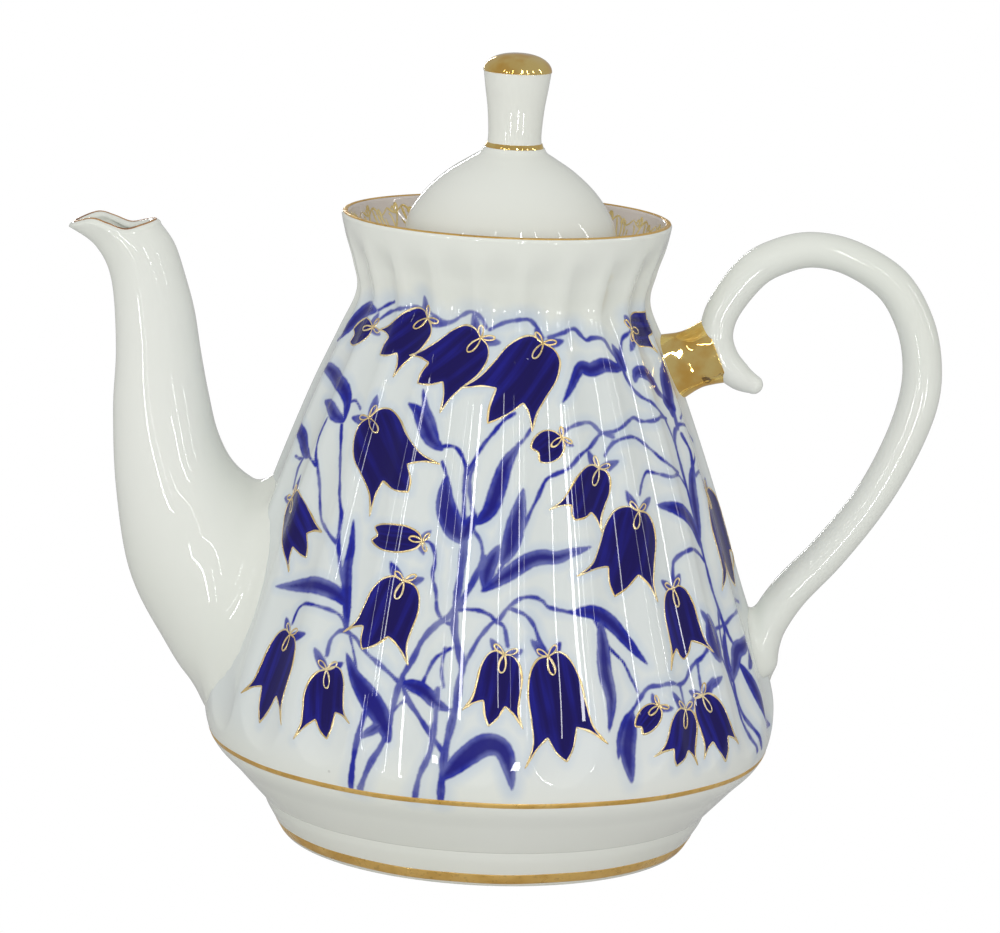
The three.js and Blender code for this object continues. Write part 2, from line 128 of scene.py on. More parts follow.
# Bells: knot, then the tips of three petals in order round the mouth, then how full the bell is.
BELLS = [
    ((-29.8, 109.8), (-52.5, 106), (-45.8, 101.8), (-37.2, 98.2), 1.08),
    ((-7.5, 107.2), (-33.5, 102.6), (-27, 97.9), (-18, 92.8), 1.08),
    ((15.5, 106.5), (-12.5, 97.8), (-3, 91.6), (10.3, 90.4), 1.08),
    ((-41, 90.2), (-15.5, 83.5), (-23, 77.8), (-33, 72.2), 1.0),
    ((-64.3, 71.6), (-46.5, 67.5), (-50, 62), (-54.5, 58.5), 1.08),
    ((-20.5, 61.3), (-33.5, 50.2), (-27.5, 48), (-17, 46), 1.0),
    ((-48.3, 47.4), (-58.5, 34), (-51.8, 29.5), (-44, 30.8), 0.95),
    ((-35.8, 42.8), (-40.5, 28.8), (-33, 30), (-27.7, 34), 0.98),
    ((30, 83.3), (14.5, 76), (21, 74.2), (28.5, 71.5), 1.0),
    ((40, 75), (20.5, 63.8), (30.2, 59.5), (41.5, 57.8), 1.0),
    ((79, 74.5), (68.5, 56.5), (83, 55), (93, 58), 1.0),
    ((57.5, 108), (78, 111.4), (80, 107.4), (71, 102.7), 1.0),
    ((3.5, 49.4), (-5, 38.8), (0.3, 36), (7, 36), 1.0),
    ((13, 49), (7.4, 28.5), (15.8, 29.5), (24, 32.8), 0.95),
    ((44, 37.2), (34.5, 29.3), (39.7, 27), (45.9, 26.2), 0.98),
    ((50, 39), (48, 27), (54.5, 25.5), (59.3, 28.2), 1.0),
    ((48.2, 59.5), (41.5, 45), (47, 46.3), (56, 46.6), 0.98),
]
# Buds: knot, far end, width.
BUDS = [
    ((-55.3, 106.3), (-68.5, 103.6), 5.6), ((-17.3, 69), (-30.5, 69.2), 5.2),
    ((19.3, 89.4), (11.2, 86.2), 6.0), ((36.8, 38.9), (31.8, 34.6), 4.4),
]
# Stems: width, then the points they run through.
STEMS = [
    (1.5, (-27, 21.4), (-26.2, 27), (-25.5, 32), (-24.6, 36.5)),
    (1.5, (-25, 21.4), (-22.6, 27), (-20.3, 32), (-19.2, 38), (-18.3, 43), (-16.2, 47), (-14.3, 51),
     (-11.5, 54), (-8.5, 56.2), (-5.6, 60), (-3.4, 63.5), (-1.8, 67)),
    (1.1, (-18.5, 42.6), (-22, 45), (-26, 47.4), (-30, 49.8), (-34, 50.4), (-36.2, 48.4), (-36.4, 45.5)),
    (0.9, (-32.8, 50.6), (-35, 53), (-40, 54.1), (-45, 54), (-47.7, 52.4), (-48.5, 49.5)),
    (0.8, (-31.8, 50.4), (-29.2, 46.4), (-27.6, 43.4), (-26.4, 40.6)),
    (1.4, (-13.6, 21.2), (-12.6, 26), (-11, 30), (-10.3, 34), (-10.1, 38), (-10, 42.5)),
    (1.4, (-18, 43.4), (-16.6, 40.2), (-13.8, 37.2), (-11.2, 34.4), (-8.2, 31)),
    (0.8, (-19.6, 36.8), (-17.6, 39), (-15.8, 39.6)),
    (0.9, (-13.6, 42.4), (-12.6, 45), (-11, 48), (-8, 50)), (0.8, (-8.8, 43), (-9.5, 46), (-9.1, 50)),
    (1.8, (-8.5, 21), (-8.3, 26), (-7.9, 31), (-7, 36), (-6.2, 40), (-5.8, 44), (-5.3, 47), (-6.5, 50.5),
     (-7.5, 54.5), (-7.4, 59), (-6.9, 64), (-6.7, 69), (-6.4, 73)),
    (1.0, (-5.2, 46.5), (-3.8, 49), (-2, 52), (0.5, 54.7), (2.4, 55.8), (4.2, 58), (7, 59.8), (10, 60),
     (12.2, 59.2), (14, 57.9), (19.5, 57)),
    (1.0, (-7, 57.2), (-3, 57.2), (0, 56.5), (1.6, 55.3), (3.4, 54.4), (4.2, 51)),
    (1.0, (4.6, 58), (8, 56.8), (10, 54.8), (11.2, 52), (12.6, 50)),
    (1.0, (-7.4, 54.4), (-9.8, 55), (-11.6, 57), (-12.2, 60), (-13.6, 63), (-13.4, 66), (-14.6, 68.4),
     (-16.6, 69.2)),
    (0.9, (-6.6, 57.5), (-4.8, 60.5), (-3.2, 63.2), (-2.2, 66.5), (-2.6, 69.5), (-5, 72.2)),
    (1.0, (-8, 83), (-7.8, 78), (-7.2, 73)), (1.0, (-6, 84), (-6.7, 80.8), (-5.9, 77), (-4.6, 74)),
    (1.0, (-7.4, 82.3), (-9, 85), (-11.2, 86.8), (-14, 87), (-16.6, 86.5)),
    (1.0, (-7, 83), (-5.4, 85.6), (-3.4, 88), (-1, 90), (2, 92.4), (5, 93.8)),
    (0.9, (-15, 84), (-13.2, 81.7), (-12.4, 80)), (0.9, (6, 88), (8, 89.2), (10, 91)),
    (1.0, (2, 64.6), (5, 69), (9, 75), (12, 79), (14, 81.5), (17, 82.6), (20.5, 83.7), (24, 86),
     (28, 87.4), (32, 89.5), (36.5, 90), (42, 91.3), (46, 92), (49, 91.2), (54, 91), (59, 91.4), (63, 90.6)),
    (1.0, (20, 90.6), (24, 91.7), (29, 91.8), (32.5, 89.9), (36, 89)),
    (0.8, (24, 55.4), (27, 50.4), (30, 47.5), (31.4, 44.5), (32.6, 41.6)),
    (1.1, (29.2, 37), (31, 38.6), (33, 40.6), (35.2, 42.3), (38, 42.6), (41, 42.7), (43.6, 42), (46, 42.6),
     (48, 44.2), (50, 45.3), (52.4, 46.2), (55.5, 48.4)),
    (0.9, (43.6, 42), (43.8, 38)), (0.9, (50.6, 45.2), (50.2, 42), (50, 39.5)),
    (1.0, (60.4, 50.3), (64, 50.2), (67, 50.5), (70, 51.5), (74, 52), (78, 53), (82, 52)),
    (1.1, (69.5, 24.4), (66, 28), (63.3, 31.5), (62.2, 35), (61.5, 39), (60.6, 43), (58.6, 47)),
    (1.3, (72.5, 24.4), (68, 29), (64, 33), (62.6, 37), (63, 41), (63.6, 46), (65.3, 50), (65, 54),
     (64.3, 58), (64, 63), (63.8, 68), (64, 74), (63.9, 80), (64.3, 86), (66.5, 88.2)),
    (1.0, (63.4, 41), (61.8, 45), (62.6, 49), (64.6, 53)), (1.2, (65.2, 53), (66.4, 48), (68.2, 45)),
    (1.1, (63.7, 63), (61, 65), (57, 66.2), (53, 65.8), (50, 64.5), (49, 62.4), (48.6, 60.5)),
    (0.9, (63.6, 77.4), (60.5, 80), (55, 80.3), (50, 81.3), (46.5, 81.7), (43.6, 80), (41.6, 78)),
    (0.9, (61, 80.4), (57, 82), (53, 84), (50, 86), (45, 88.3), (40, 88.7), (35.6, 87.8), (32.5, 85.6)),
    (0.9, (62, 90.5), (63.6, 87), (64, 83)),
    (1.0, (61.6, 91), (58, 93), (55, 94.5), (51, 96), (48, 98.5), (46.8, 101)),
    (1.1, (45.4, 103), (43, 104.5), (40, 107), (36, 107.3), (33, 107), (29, 109), (24, 108.7), (18, 107.6)),
    (1.0, (47.2, 102), (48.5, 104.5), (51, 106.5), (55.5, 107.8)),
    (1.0, (64.5, 86), (68, 88.7), (72, 88.7), (77, 87), (81, 84.5)), (1.3, (68, 88.4), (68.6, 92)),
    (0.9, (71, 90), (75.5, 91.2)), (1.0, (70, 79), (73, 79.4), (76.5, 78), (78.5, 76)),
    (1.2, (69, 87), (70.8, 83.5), (69.4, 80.6)), (0.9, (70, 81), (74, 82.6)),
    (1.0, (-28.5, 111), (-24, 109.9), (-20, 109.6), (-16, 111), (-12, 112), (-8.5, 111.2), (-6, 109.2)),
    (1.0, (-4.5, 108.8), (0, 110), (5, 110.8), (10, 111), (13.4, 109.6), (15.6, 107.5)),
    (0.9, (-48, 111.8), (-52, 111), (-56, 109.6)),
    (1.0, (-54.5, 107.6), (-51, 109.3), (-47, 110.2), (-42, 111), (-36, 111.6), (-31, 111)),
    (0.8, (-52.5, 91.8), (-50, 92.5), (-46, 91.4)),
    (1.1, (-52.5, 87.6), (-50, 84), (-47.5, 80.6), (-45, 77.5), (-43, 74.6), (-41, 71.6), (-40.2, 67.5),
     (-38.4, 63), (-36.4, 59.6)),
    (1.0, (-59.3, 88), (-60, 84.5), (-58.5, 81.5), (-56, 79), (-53, 75.5), (-50.5, 72), (-48, 69.5),
     (-44, 68), (-40.4, 66.4)),
    (0.9, (-56.6, 79.2), (-60, 80), (-64, 80.3)), (1.1, (-66.4, 79.6), (-67.5, 77), (-66, 73.4)),
    (0.8, (-66.5, 79.3), (-69, 78.8), (-71.5, 79)),
]
# Leaves: greatest width, then the points they run through; both ends are brushed to a point.
LEAVES = [
    (4.0, (-19.4, 31.4), (-21.5, 36), (-25, 40), (-28.4, 43), (-31.6, 46.6)),
    (1.8, (-20, 35.6), (-25.2, 31.6)),
    (2.2, (-32.6, 50.6), (-34.2, 56), (-36, 62), (-36.2, 66), (-37.4, 71)),
    (3.2, (-32.6, 54.8), (-38, 57.2), (-43, 57.9), (-48, 57), (-52, 56.2), (-57, 55.3)),
    (2.8, (-18, 42.6), (-13.5, 42), (-10, 39.8), (-7, 38.6)),
    (4.2, (-8.6, 25.5), (-4, 30), (0, 32.6), (3, 32), (4.4, 28.6), (5.2, 24)),
    (4.4, (-7, 69.8), (-10, 72.6), (-12.6, 76.6), (-13, 81.6)), (2.6, (-7.2, 69.6), (-6.2, 72.4), (-4.4, 75)),
    (3.2, (-4.4, 73), (-1, 75.6), (1, 80), (3, 84.4), (6.6, 88.4)),
    (2.8, (-15.4, 86.2), (-19.5, 88), (-22.5, 91), (-25, 93), (-28.6, 94)),
    (1.4, (-17, 87.6), (-20, 91), (-22.5, 93.5), (-24.6, 97)),
    (3.0, (-2, 60.6), (3, 63.5), (8, 66.4), (12, 67.3), (16, 67.2), (20, 68.2), (24.8, 69.2)),
    (2.8, (-1.2, 61.2), (-0.6, 65), (1.8, 69.4)), (3.6, (2.6, 66), (4.6, 69.8), (5.6, 73), (7.6, 80)),
    (3.0, (19, 57), (23, 57.2), (26, 56.2), (29, 54.2), (32, 51), (35.8, 46.6)),
    (3.2, (25.2, 55.5), (25.4, 51), (25.1, 46), (25.8, 41), (24.4, 35)),
    (3.8, (30.6, 38), (29.4, 34.6), (28.6, 30.6), (29.4, 24.6)),
    (1.8, (29.6, 38), (27.2, 33.8), (26.2, 29.6)),
    (5.6, (58.6, 45), (57.8, 48), (57.8, 51), (57.4, 53.6)), (1.6, (58, 51), (55, 54.8)),
    (1.4, (52, 40.2), (54.4, 41.2), (57, 41.8)), (2.2, (62.4, 39.6), (61.8, 43.6), (64.2, 48.8)),
    (3.4, (63, 40), (66, 43), (68, 45), (71.5, 45.6), (77, 47.2)), (2.2, (70.4, 41), (73, 43), (76.4, 46.8)),
    (3.2, (67.4, 42.6), (70, 38), (72.6, 33.4), (77, 29), (83, 26.8)),
    (3.2, (63.4, 65.6), (62, 70), (58.6, 72.6), (54, 74.4), (48, 75.4)),
    (2.8, (47.6, 101.2), (43, 101.6), (38, 102.3), (33, 101.5), (29, 102), (26, 100.4), (20.4, 95.8)),
    (2.4, (47.8, 100.6), (46.4, 103.2), (44.6, 105.8)),
    (2.8, (50.8, 98.4), (53, 100.2), (57, 99.8), (60.4, 98.4), (62.6, 96), (66, 94)),
    (3.6, (67.6, 90.4), (68.4, 94.6), (70.6, 98), (74, 100), (79, 101.8)), (3.0, (65.6, 94.6), (69.4, 91.6)),
    (3.0, (64, 67), (65.6, 73), (67.6, 78), (70.8, 81.6)),
    (3.4, (-56.6, 109.4), (-64, 109.2), (-69, 108), (-72.4, 105.6), (-77, 103), (-85, 101)),
    (3.2, (-51.8, 88.4), (-53.6, 92.2), (-58, 94.6), (-64, 95.2), (-70, 96), (-75, 96.5), (-83, 95.3)),
    (2.6, (-52, 88.2), (-56, 89), (-60, 90.3), (-67.4, 90.6)),
    (2.8, (-62, 80.2), (-67, 80.6), (-72, 83), (-76, 84), (-79, 85.6), (-81.6, 89)),
]
STEM_THINNING, STROKE_STEPS, BRUSH_REACH = 0.82, 14, 4.5
GOLD_WIDTH, GOLD_HEIGHT, LOOP_WIDTH = 0.38, 0.08, 0.36
# Bow size, sepal size and sepal strength of each kind of flower.
BELL_STALK, BUD_STALK = (2.7, 5.2, 0.9), (2.1, 3.4, 0.8)
# One side of a flower, as (across, along): 1 across is half the mouth, 1 along is knot to mouth.
BELL_SIDE = [(0, 0), (0.3, -0.01), (0.56, 0.09), (0.71, 0.3), (0.73, 0.55), (0.78, 0.79)]
BUD_SIDE = [(0, 0), (0.62, 0.12), (1, 0.4), (0.96, 0.75), (0.55, 1), (0, 0.9)]
# Each painted side: mirror, unsteadiness of the hand, seed. The front is first, the back second.
SIDES = [(1, 0.0, 7), (-1, 0.9, 11)]


# ---- Curves ------------------------------------------------------------------------------------
def smooth_rows(rows, steps):
    """steps + 1 rows on a smooth curve through rows."""
    rows = np.asarray(rows, float)
    last = len(rows) - 1
    t = np.linspace(0, last, steps + 1)
    i = np.minimum(t.astype(int), last - 1)
    u = (t - i)[:, None]
    before, start, end, after = (rows[np.clip(i + k, 0, last)] for k in (-1, 0, 1, 2))
    slope_in, slope_out = (end - before) / 2, (after - start) / 2
    cubic = 2 * start - 2 * end + slope_in + slope_out
    square = 3 * end - 3 * start - 2 * slope_in - slope_out
    return ((cubic * u + square) * u + slope_in) * u + start


def lengths_along(points):
    """Length of a line of points from its start up to each point."""
    return np.concatenate([[0], np.cumsum(np.linalg.norm(np.diff(points, axis=0), axis=1))])


def even_rows(rows, steps):
    """The same curve with its points evenly spaced along its first two numbers."""
    fine = smooth_rows(rows, 30 * (len(rows) - 1))
    length = lengths_along(fine[:, :2])
    at = np.linspace(0, length[-1], steps + 1)
    return np.stack([np.interp(at, length, column) for column in fine.T], axis=1)


def smoothstep(x):
    x = np.clip(x, 0, 1)
    return x * x * (3 - 2 * x)


def unit(vectors, least=1e-9):
    return vectors / (np.linalg.norm(vectors, axis=-1, keepdims=True) + least)


def circle(count):
    """Angles of evenly spaced points round a circle."""
    return np.arange(count) * 2 * math.pi / count


# ---- Body surface ------------------------------------------------------------------------------
OUTLINE = even_rows(BODY_OUTLINE, ROWS)
OUTLINE_LENGTH = lengths_along(OUTLINE)


def outline_radius(z):
    return np.interp(z, OUTLINE[:, 1], OUTLINE[:, 0])


def climb_at(z):
    """Length of the outline from the foot up to height z."""
    return np.interp(z, OUTLINE[:, 1], OUTLINE_LENGTH)


def flute_depth(azimuth, z):
    """How far the scooped flutes go in; a soft ridge lies under the handle and the spout."""
    turn = (azimuth - 90) * FLUTES / WHOLE_TURN
    across = np.abs(2 * (turn - np.floor(turn)) - 1)
    hollow = across**2 - np.maximum(0, across - 1 + RIDGE_SOFTNESS) ** 2 / RIDGE_SOFTNESS
    hollow = hollow / (1 - RIDGE_SOFTNESS)
    (low, high), (low_end, high_end) = FLUTE_SPAN, FLUTE_END
    below = np.maximum(0, (low + low_end - z) / low_end)
    left = 1 - hollow - below**2
    fade = smoothstep((high - z) / high_end)
    deeper = 1 + NECK_FLUTES_EXTRA * smoothstep((z - NECK_FLUTES_FROM) / NECK_FLUTES_RISE)
    return FLUTE_DEPTH * fade * deeper * outline_radius(z) * 0.5 * (left + np.sqrt(left**2 + 0.004))


def on_circle(azimuth, radius, z):
    a = np.radians(azimuth)
    return np.stack(np.broadcast_arrays(radius * np.sin(a), -radius * np.cos(a), z * 1.0), axis=-1)


def lean(z):
    """The body's axis wanders a little towards the spout above the belly, as fired ware does."""
    return LEAN * smoothstep((np.asarray(z) - 26) / 34)


def round_body(azimuth, radius, z):
    points = on_circle(azimuth, radius, z)
    points[..., 0] += lean(points[..., 2])
    return points


def on_body(azimuth, z, lift=0.0):
    return round_body(azimuth, outline_radius(z) - flute_depth(azimuth, z) + lift, z)


# ---- Meshes ------------------------------------------------------------------------------------
def grid_faces(rows, columns, first=0, closed_rows=False):
    """Quads between neighbouring rings of vertices."""
    count = rows if closed_rows else rows - 1
    i, j = np.meshgrid(np.arange(count), np.arange(columns), indexing="ij")
    a, b = i * columns + j, i * columns + (j + 1) % columns
    step = np.where(i == rows - 1, -(rows - 1) * columns, columns)
    return np.stack([a, b, b + step, a + step], axis=-1).reshape(-1, 4) + first


def add_object(name, data):
    item = bpy.data.objects.new(name, data)
    bpy.context.scene.collection.objects.link(item)
    return item


def make_piece(name, vertices, face_groups, values=None):
    """A mesh object from vertices in millimetres and arrays of faces."""
    mesh = bpy.data.meshes.new(name)
    corners = np.concatenate([group.ravel() for group in face_groups])
    sizes = np.concatenate([np.full(len(group), group.shape[1]) for group in face_groups])
    mesh.vertices.add(len(vertices))
    mesh.loops.add(len(corners))
    mesh.polygons.add(len(sizes))
    mesh.vertices.foreach_set("co", (np.asarray(vertices) * MM).astype(np.float32).ravel())
    mesh.loops.foreach_set("vertex_index", corners.astype(np.int32))
    starts = np.concatenate([[0], np.cumsum(sizes)[:-1]])
    mesh.polygons.foreach_set("loop_start", starts.astype(np.int32))
    mesh.update(calc_edges=True)
    for key, numbers in (values or {}).items():
        attribute = mesh.attributes.new(key, "FLOAT", "POINT")
        attribute.data.foreach_set("value", numbers.astype(np.float32).ravel())
    mesh.validate()
    mesh.shade_smooth()
    return add_object(name, mesh)


def fan(ring_start, columns, centre, flip=False):
    """Triangles from a ring of vertices to one centre vertex."""
    j = np.arange(columns)
    a, b = ring_start + j, ring_start + (j + 1) % columns
    triangle = [b, a] if flip else [a, b]
    return np.stack([*triangle, np.full(columns, centre)], axis=-1)


def loft(name, rings, closed_rows=False):
    """A closed piece through rings of equally many points; open ends are closed by fans."""
    rows, columns = rings.shape[:2]
    vertices = rings.reshape(-1, 3)
    groups = [grid_faces(rows, columns, 0, closed_rows)]
    if not closed_rows:
        ends = np.stack([rings[0].mean(0), rings[-1].mean(0)])
        count = len(vertices)
        groups += [fan(0, columns, count, True), fan(count - columns, columns, count + 1)]
        vertices = np.concatenate([vertices, ends])
    return make_piece(name, vertices, groups)


def turned(name, outline, columns=256, closed=False):
    """A solid of revolution from (radius, height) points, bottom to top outside."""
    outline = np.asarray(outline, float)
    azimuths = np.arange(columns) * WHOLE_TURN / columns
    rings = on_circle(azimuths[None, :], outline[:, :1], outline[:, 1:])
    return loft(name, rings, closed_rows=closed)


def cut(piece, cutter):
    """Takes the cutter out of a piece."""
    modifier = piece.modifiers.new("cut", "BOOLEAN")
    modifier.object, modifier.operation, modifier.solver = cutter, "DIFFERENCE", "MANIFOLD"
    bpy.context.view_layer.update()
    evaluated = piece.evaluated_get(bpy.context.evaluated_depsgraph_get())
    piece.data = bpy.data.meshes.new_from_object(evaluated)
    piece.modifiers.clear()
    bpy.data.objects.remove(cutter)


# ---- Painting on the body's grid -----------------------------------------------------------------
COLUMN_STEP = WHOLE_TURN / COLUMNS
FAR = -6.0
UNPAINTED = {"bell": FAR, "stroke": FAR, "tone": 0.0, "across": 0.0, "along": 0.0}
paint = {key: np.full((ROWS + 1, COLUMNS), blank) for key, blank in UNPAINTED.items()}


def window(places, margin=BRUSH_REACH):
    """Grid rows and columns within margin of some places on the body, with their azimuths."""
    low, high = places.min(0), places.max(0)
    rows = np.nonzero((OUTLINE[:, 1] > low[1] - margin) & (OUTLINE[:, 1] < high[1] + margin))[0]
    reach = math.degrees(margin / OUTLINE[rows, 0].min())
    first = math.floor((low[0] - reach) / COLUMN_STEP)
    columns = np.arange(first, math.ceil((high[0] + reach) / COLUMN_STEP))
    return np.ix_(rows, columns % COLUMNS), rows[:, None], (columns * COLUMN_STEP)[None, :]


def distance_to(start, end, rows, azimuths):
    """Distance on the surface from grid points to a short line, and how far along it the foot is."""
    per_degree = np.radians(OUTLINE[rows, 0])
    climb = OUTLINE_LENGTH[rows]
    to_climb = climb_at([start[1], end[1]])
    x0, y0 = (azimuths - start[0]) * per_degree, climb - to_climb[0]
    dx, dy = (end[0] - start[0]) * per_degree, to_climb[1] - to_climb[0]
    share = np.clip((x0 * dx + y0 * dy) / np.maximum(dx * dx + dy * dy, 1e-9), 0, 1)
    return np.hypot(x0 - share * dx, y0 - share * dy), share


def brush(points, half_widths, strength):
    """One brush stroke: keeps, for each grid point, how deep inside the nearest stroke it lies."""
    for k in range(len(points) - 1):
        start, end = points[k], points[k + 1]
        place, rows, azimuths = window(np.array([start, end]))
        distance, share = distance_to(start, end, rows, azimuths)
        depth = half_widths[k] + (half_widths[k + 1] - half_widths[k]) * share - distance
        deeper = depth > paint["stroke"][place]
        paint["stroke"][place] = np.where(deeper, depth, paint["stroke"][place])
        paint["tone"][place] = np.where(deeper, strength, paint["tone"][place])


def paint_stem(points, width, strength):
    path = even_rows(points, STROKE_STEPS * (len(points) - 1))
    swell = 1 + 0.16 * np.sin(np.arange(len(path)) * 0.31 + points[0][0])
    brush(path, width / 2 * swell, strength)


def paint_leaf(points, width, strength):
    path = even_rows(points, STROKE_STEPS * (len(points) - 1))
    t = np.linspace(0, 1, len(path))
    brush(path, 0.12 + width / 2 * np.sin(np.pi * t**0.8) ** 0.75, strength)


def inside(polygon, x, y):
    """Even-odd test of grid points against a closed polygon."""
    odd = np.zeros(np.broadcast_shapes(x.shape, y.shape), bool)
    for (x0, y0), (x1, y1) in zip(polygon, np.roll(polygon, -1, axis=0)):
        if y0 != y1:
            crosses = (y0 > y) != (y1 > y)
            odd ^= crosses & (x < (x1 - x0) * (y - y0) / (y1 - y0) + x0)
    return odd


def paint_flower(outline, to_local):
    """Fills a closed outline and keeps its own across and along directions for the brush marks."""
    place, rows, azimuths = window(outline)
    nearest = np.full(np.broadcast_shapes(rows.shape, azimuths.shape), 99.0)
    for start, end in zip(outline, np.roll(outline, -1, axis=0)):
        nearest = np.minimum(nearest, distance_to(start, end, rows, azimuths)[0])
    heights = OUTLINE[rows, 1]
    depth = np.where(inside(outline, azimuths, heights), nearest, -nearest)
    deeper = depth > paint["bell"][place]
    across, along = to_local(azimuths, heights)
    for key, numbers in (("bell", depth), ("across", across), ("along", along)):
        paint[key][place] = np.where(deeper, numbers, paint[key][place])


# ---- Gold lines --------------------------------------------------------------------------------
body_gold, neck_gold = [], []


def gold_line(points, width, hand, surface=on_body, ends=0.45):
    """Rings of a thin raised line of gold along (azimuth, height) points of a surface."""
    width = width * (1 + 0.22 * smooth_rows(hand.standard_normal((8, 1)), len(points) - 1)[:, 0])
    t = np.linspace(0, 1, len(points))
    width = width * (1 - ends * (1 - smoothstep(np.minimum(t, 1 - t) * 12)))
    centre = surface(points[:, 0], points[:, 1])
    normal = unit(surface(points[:, 0], points[:, 1], 1.0) - centre)
    side = unit(np.cross(np.gradient(centre, axis=0), normal))
    section = [(-0.5, -0.06), (-0.42, 0.55), (0, 1), (0.42, 0.55), (0.5, -0.06), (0, -0.5)]
    rings = [centre + side * (x * width)[:, None] + normal * (GOLD_HEIGHT * y) for x, y in section]
    return np.stack(rings, axis=1)


def join_lines(name, lines):
    """One piece from many separate closed lines."""
    vertices, groups, count = [], [], 0
    for rings in lines:
        rows, columns = rings.shape[:2]
        vertices += [rings.reshape(-1, 3), rings[0].mean(0)[None], rings[-1].mean(0)[None]]
        last = count + rows * columns
        groups += [grid_faces(rows, columns, count), fan(count, columns, last, True)]
        groups += [fan(last - columns, columns, last + 1)]
        count = last + 2
    return make_piece(name, np.concatenate(vertices), groups)


# ---- Flowers -----------------------------------------------------------------------------------
def flower_frame(knot, across, along):
    """Turns a flower's own (across, along) numbers into places on the body and back."""
    matrix = np.stack([across, along], axis=1)
    inverse = np.linalg.inv(matrix)

    def to_body(points):
        return knot + np.asarray(points) @ matrix.T

    def to_local(azimuths, heights):
        x, y = azimuths - knot[0], heights - knot[1]
        return inverse[0, 0] * x + inverse[0, 1] * y, inverse[1, 0] * x + inverse[1, 1] * y

    return to_body, to_local


def metric_direction(knot, towards):
    """Unit direction on the surface, as (degrees, height) per millimetre, and the one to its left."""
    per_degree = math.radians(outline_radius(knot[1]))
    slope = climb_at(knot[1] + 1) - climb_at(knot[1])
    x, y = (towards[0] - knot[0]) * per_degree, (towards[1] - knot[1]) * slope
    length = math.hypot(x, y)
    x, y = x / length, y / length
    return np.array([x / per_degree, y / slope]), np.array([-y / per_degree, x / slope])


def knot_loops(knot, towards, size, hand):
    """The gold bow at a flower's stalk: one long loop over the petals and two short ones behind."""
    forward, left = metric_direction(knot, towards)
    angle = np.linspace(-math.pi / 2, math.pi / 2, 30)
    for turn, length in ((0, 1.35), (128, 1.0), (-122, 0.95)):
        turn = math.radians(turn + hand.uniform(-12, 12))
        ahead = forward * math.cos(turn) + left * math.sin(turn)
        aside = left * math.cos(turn) - forward * math.sin(turn)
        reach = size * length * np.cos(angle)
        points = np.outer(reach * np.cos(angle / 3.1), ahead) + np.outer(reach * np.sin(angle / 3.1), aside)
        body_gold.append(gold_line(knot + points, LOOP_WIDTH, hand, ends=0))


def calyx(knot, towards, size, strength, hand):
    """Small blue sepals behind the bow."""
    forward, left = metric_direction(knot, towards)
    for turn in (-136, 134):
        turn = math.radians(turn + hand.uniform(-14, 14))
        tip = (forward * math.cos(turn) + left * math.sin(turn)) * size * hand.uniform(0.7, 1.1)
        start = knot + forward * 0.8
        paint_leaf([start, start + tip * 0.5, start + tip * 1.05], size * 0.34, strength)


def draw_flower(knot, towards, outline, to_local, stalk, hand):
    """Fills a flower given as lines on the body, outlines it in gold and ties it to its stalk."""
    bow_size, sepal_size, sepal_strength = stalk
    paint_flower(np.concatenate([line[:-1] for line in outline]), to_local)
    body_gold.extend(gold_line(line, GOLD_WIDTH, hand) for line in outline)
    knot_loops(knot, towards, bow_size, hand)
    calyx(knot, towards, sepal_size, sepal_strength, hand)


def bowed(start, end, shift):
    """Three points of an edge from start to end whose middle is moved by shift."""
    return np.array([start, (start + end) / 2 + shift, end])


def bell(knot, tip_a, tip_b, tip_c, fullness, hand):
    """A bellflower: domed crown, sides that swell and flare, three pointed petals."""
    to_body, to_local = flower_frame(knot, (tip_c - tip_a) / 2, (tip_a + tip_c) / 2 - knot)
    middle = np.array(to_local(*tip_b))
    notch_a, notch_b = middle * (0.5, 0) + (-0.36, 0.77), middle * (0.5, 0) + (0.36, 0.75)
    left, right = np.array([-1.0, 1.0]), np.array([1.0, 1.0])
    right_side = np.concatenate([np.array(BELL_SIDE) * (fullness, 1), [right]])
    petals = [
        bowed(left, notch_a, (0, -0.035)), bowed(notch_a, middle, (-0.03, 0.03)),
        bowed(middle, notch_b, (0.03, 0.03)), bowed(notch_b, right, (0, -0.035)),
    ]
    outline = [smooth_rows(right_side * (-1, 1), 40), *(smooth_rows(edge, 10) for edge in petals),
               smooth_rows(right_side[::-1], 40)]
    draw_flower(knot, to_body((0, 1)), [to_body(line) for line in outline], to_local, BELL_STALK, hand)


def bud(knot, end, width, hand):
    """A closed flower: an oval with two short lips at its far end."""
    left = metric_direction(knot, end)[1]
    to_body, to_local = flower_frame(knot, left * width / 2, end - knot)
    side = np.array(BUD_SIDE)
    outline = to_body(smooth_rows(np.concatenate([side, side[-2::-1] * (-1, 1)]), 80))
    draw_flower(knot, end, [outline], to_local, BUD_STALK, hand)


def paint_side(mirror, unsteadiness, seed):
    """Paints one side of the pot; the back is the front's mirror image with an unsteadier hand."""
    hand = np.random.default_rng(seed)

    def place(point):
        azimuth = point[0] + VIEW_TURN
        azimuth = azimuth if mirror > 0 else 180 - azimuth
        return np.array([azimuth, point[1]]) + hand.uniform(-1, 1, 2) * unsteadiness * (1.3, 1)

    for width, *points in STEMS:
        paint_stem([place(p) for p in points], width * STEM_THINNING, hand.uniform(0.84, 1.0))
    for width, *points in LEAVES:
        paint_leaf([place(p) for p in points], width, hand.uniform(0.88, 1.0))
    for knot, tip_a, tip_b, tip_c, fullness in BELLS:
        bell(place(knot), place(tip_a), place(tip_b), place(tip_c), fullness, hand)
    for knot, end, width in BUDS:
        bud(place(knot), place(end), width, hand)


for side in SIDES:
    paint_side(*side)


# ---- Body --------------------------------------------------------------------------------------
def neck_radius(z):
    """Inside of the neck: the wall thins towards the lip."""
    return outline_radius(z) - LIP_WALL - (WALL - LIP_WALL) * smoothstep((RIM_Z - 1 - z) / 9)


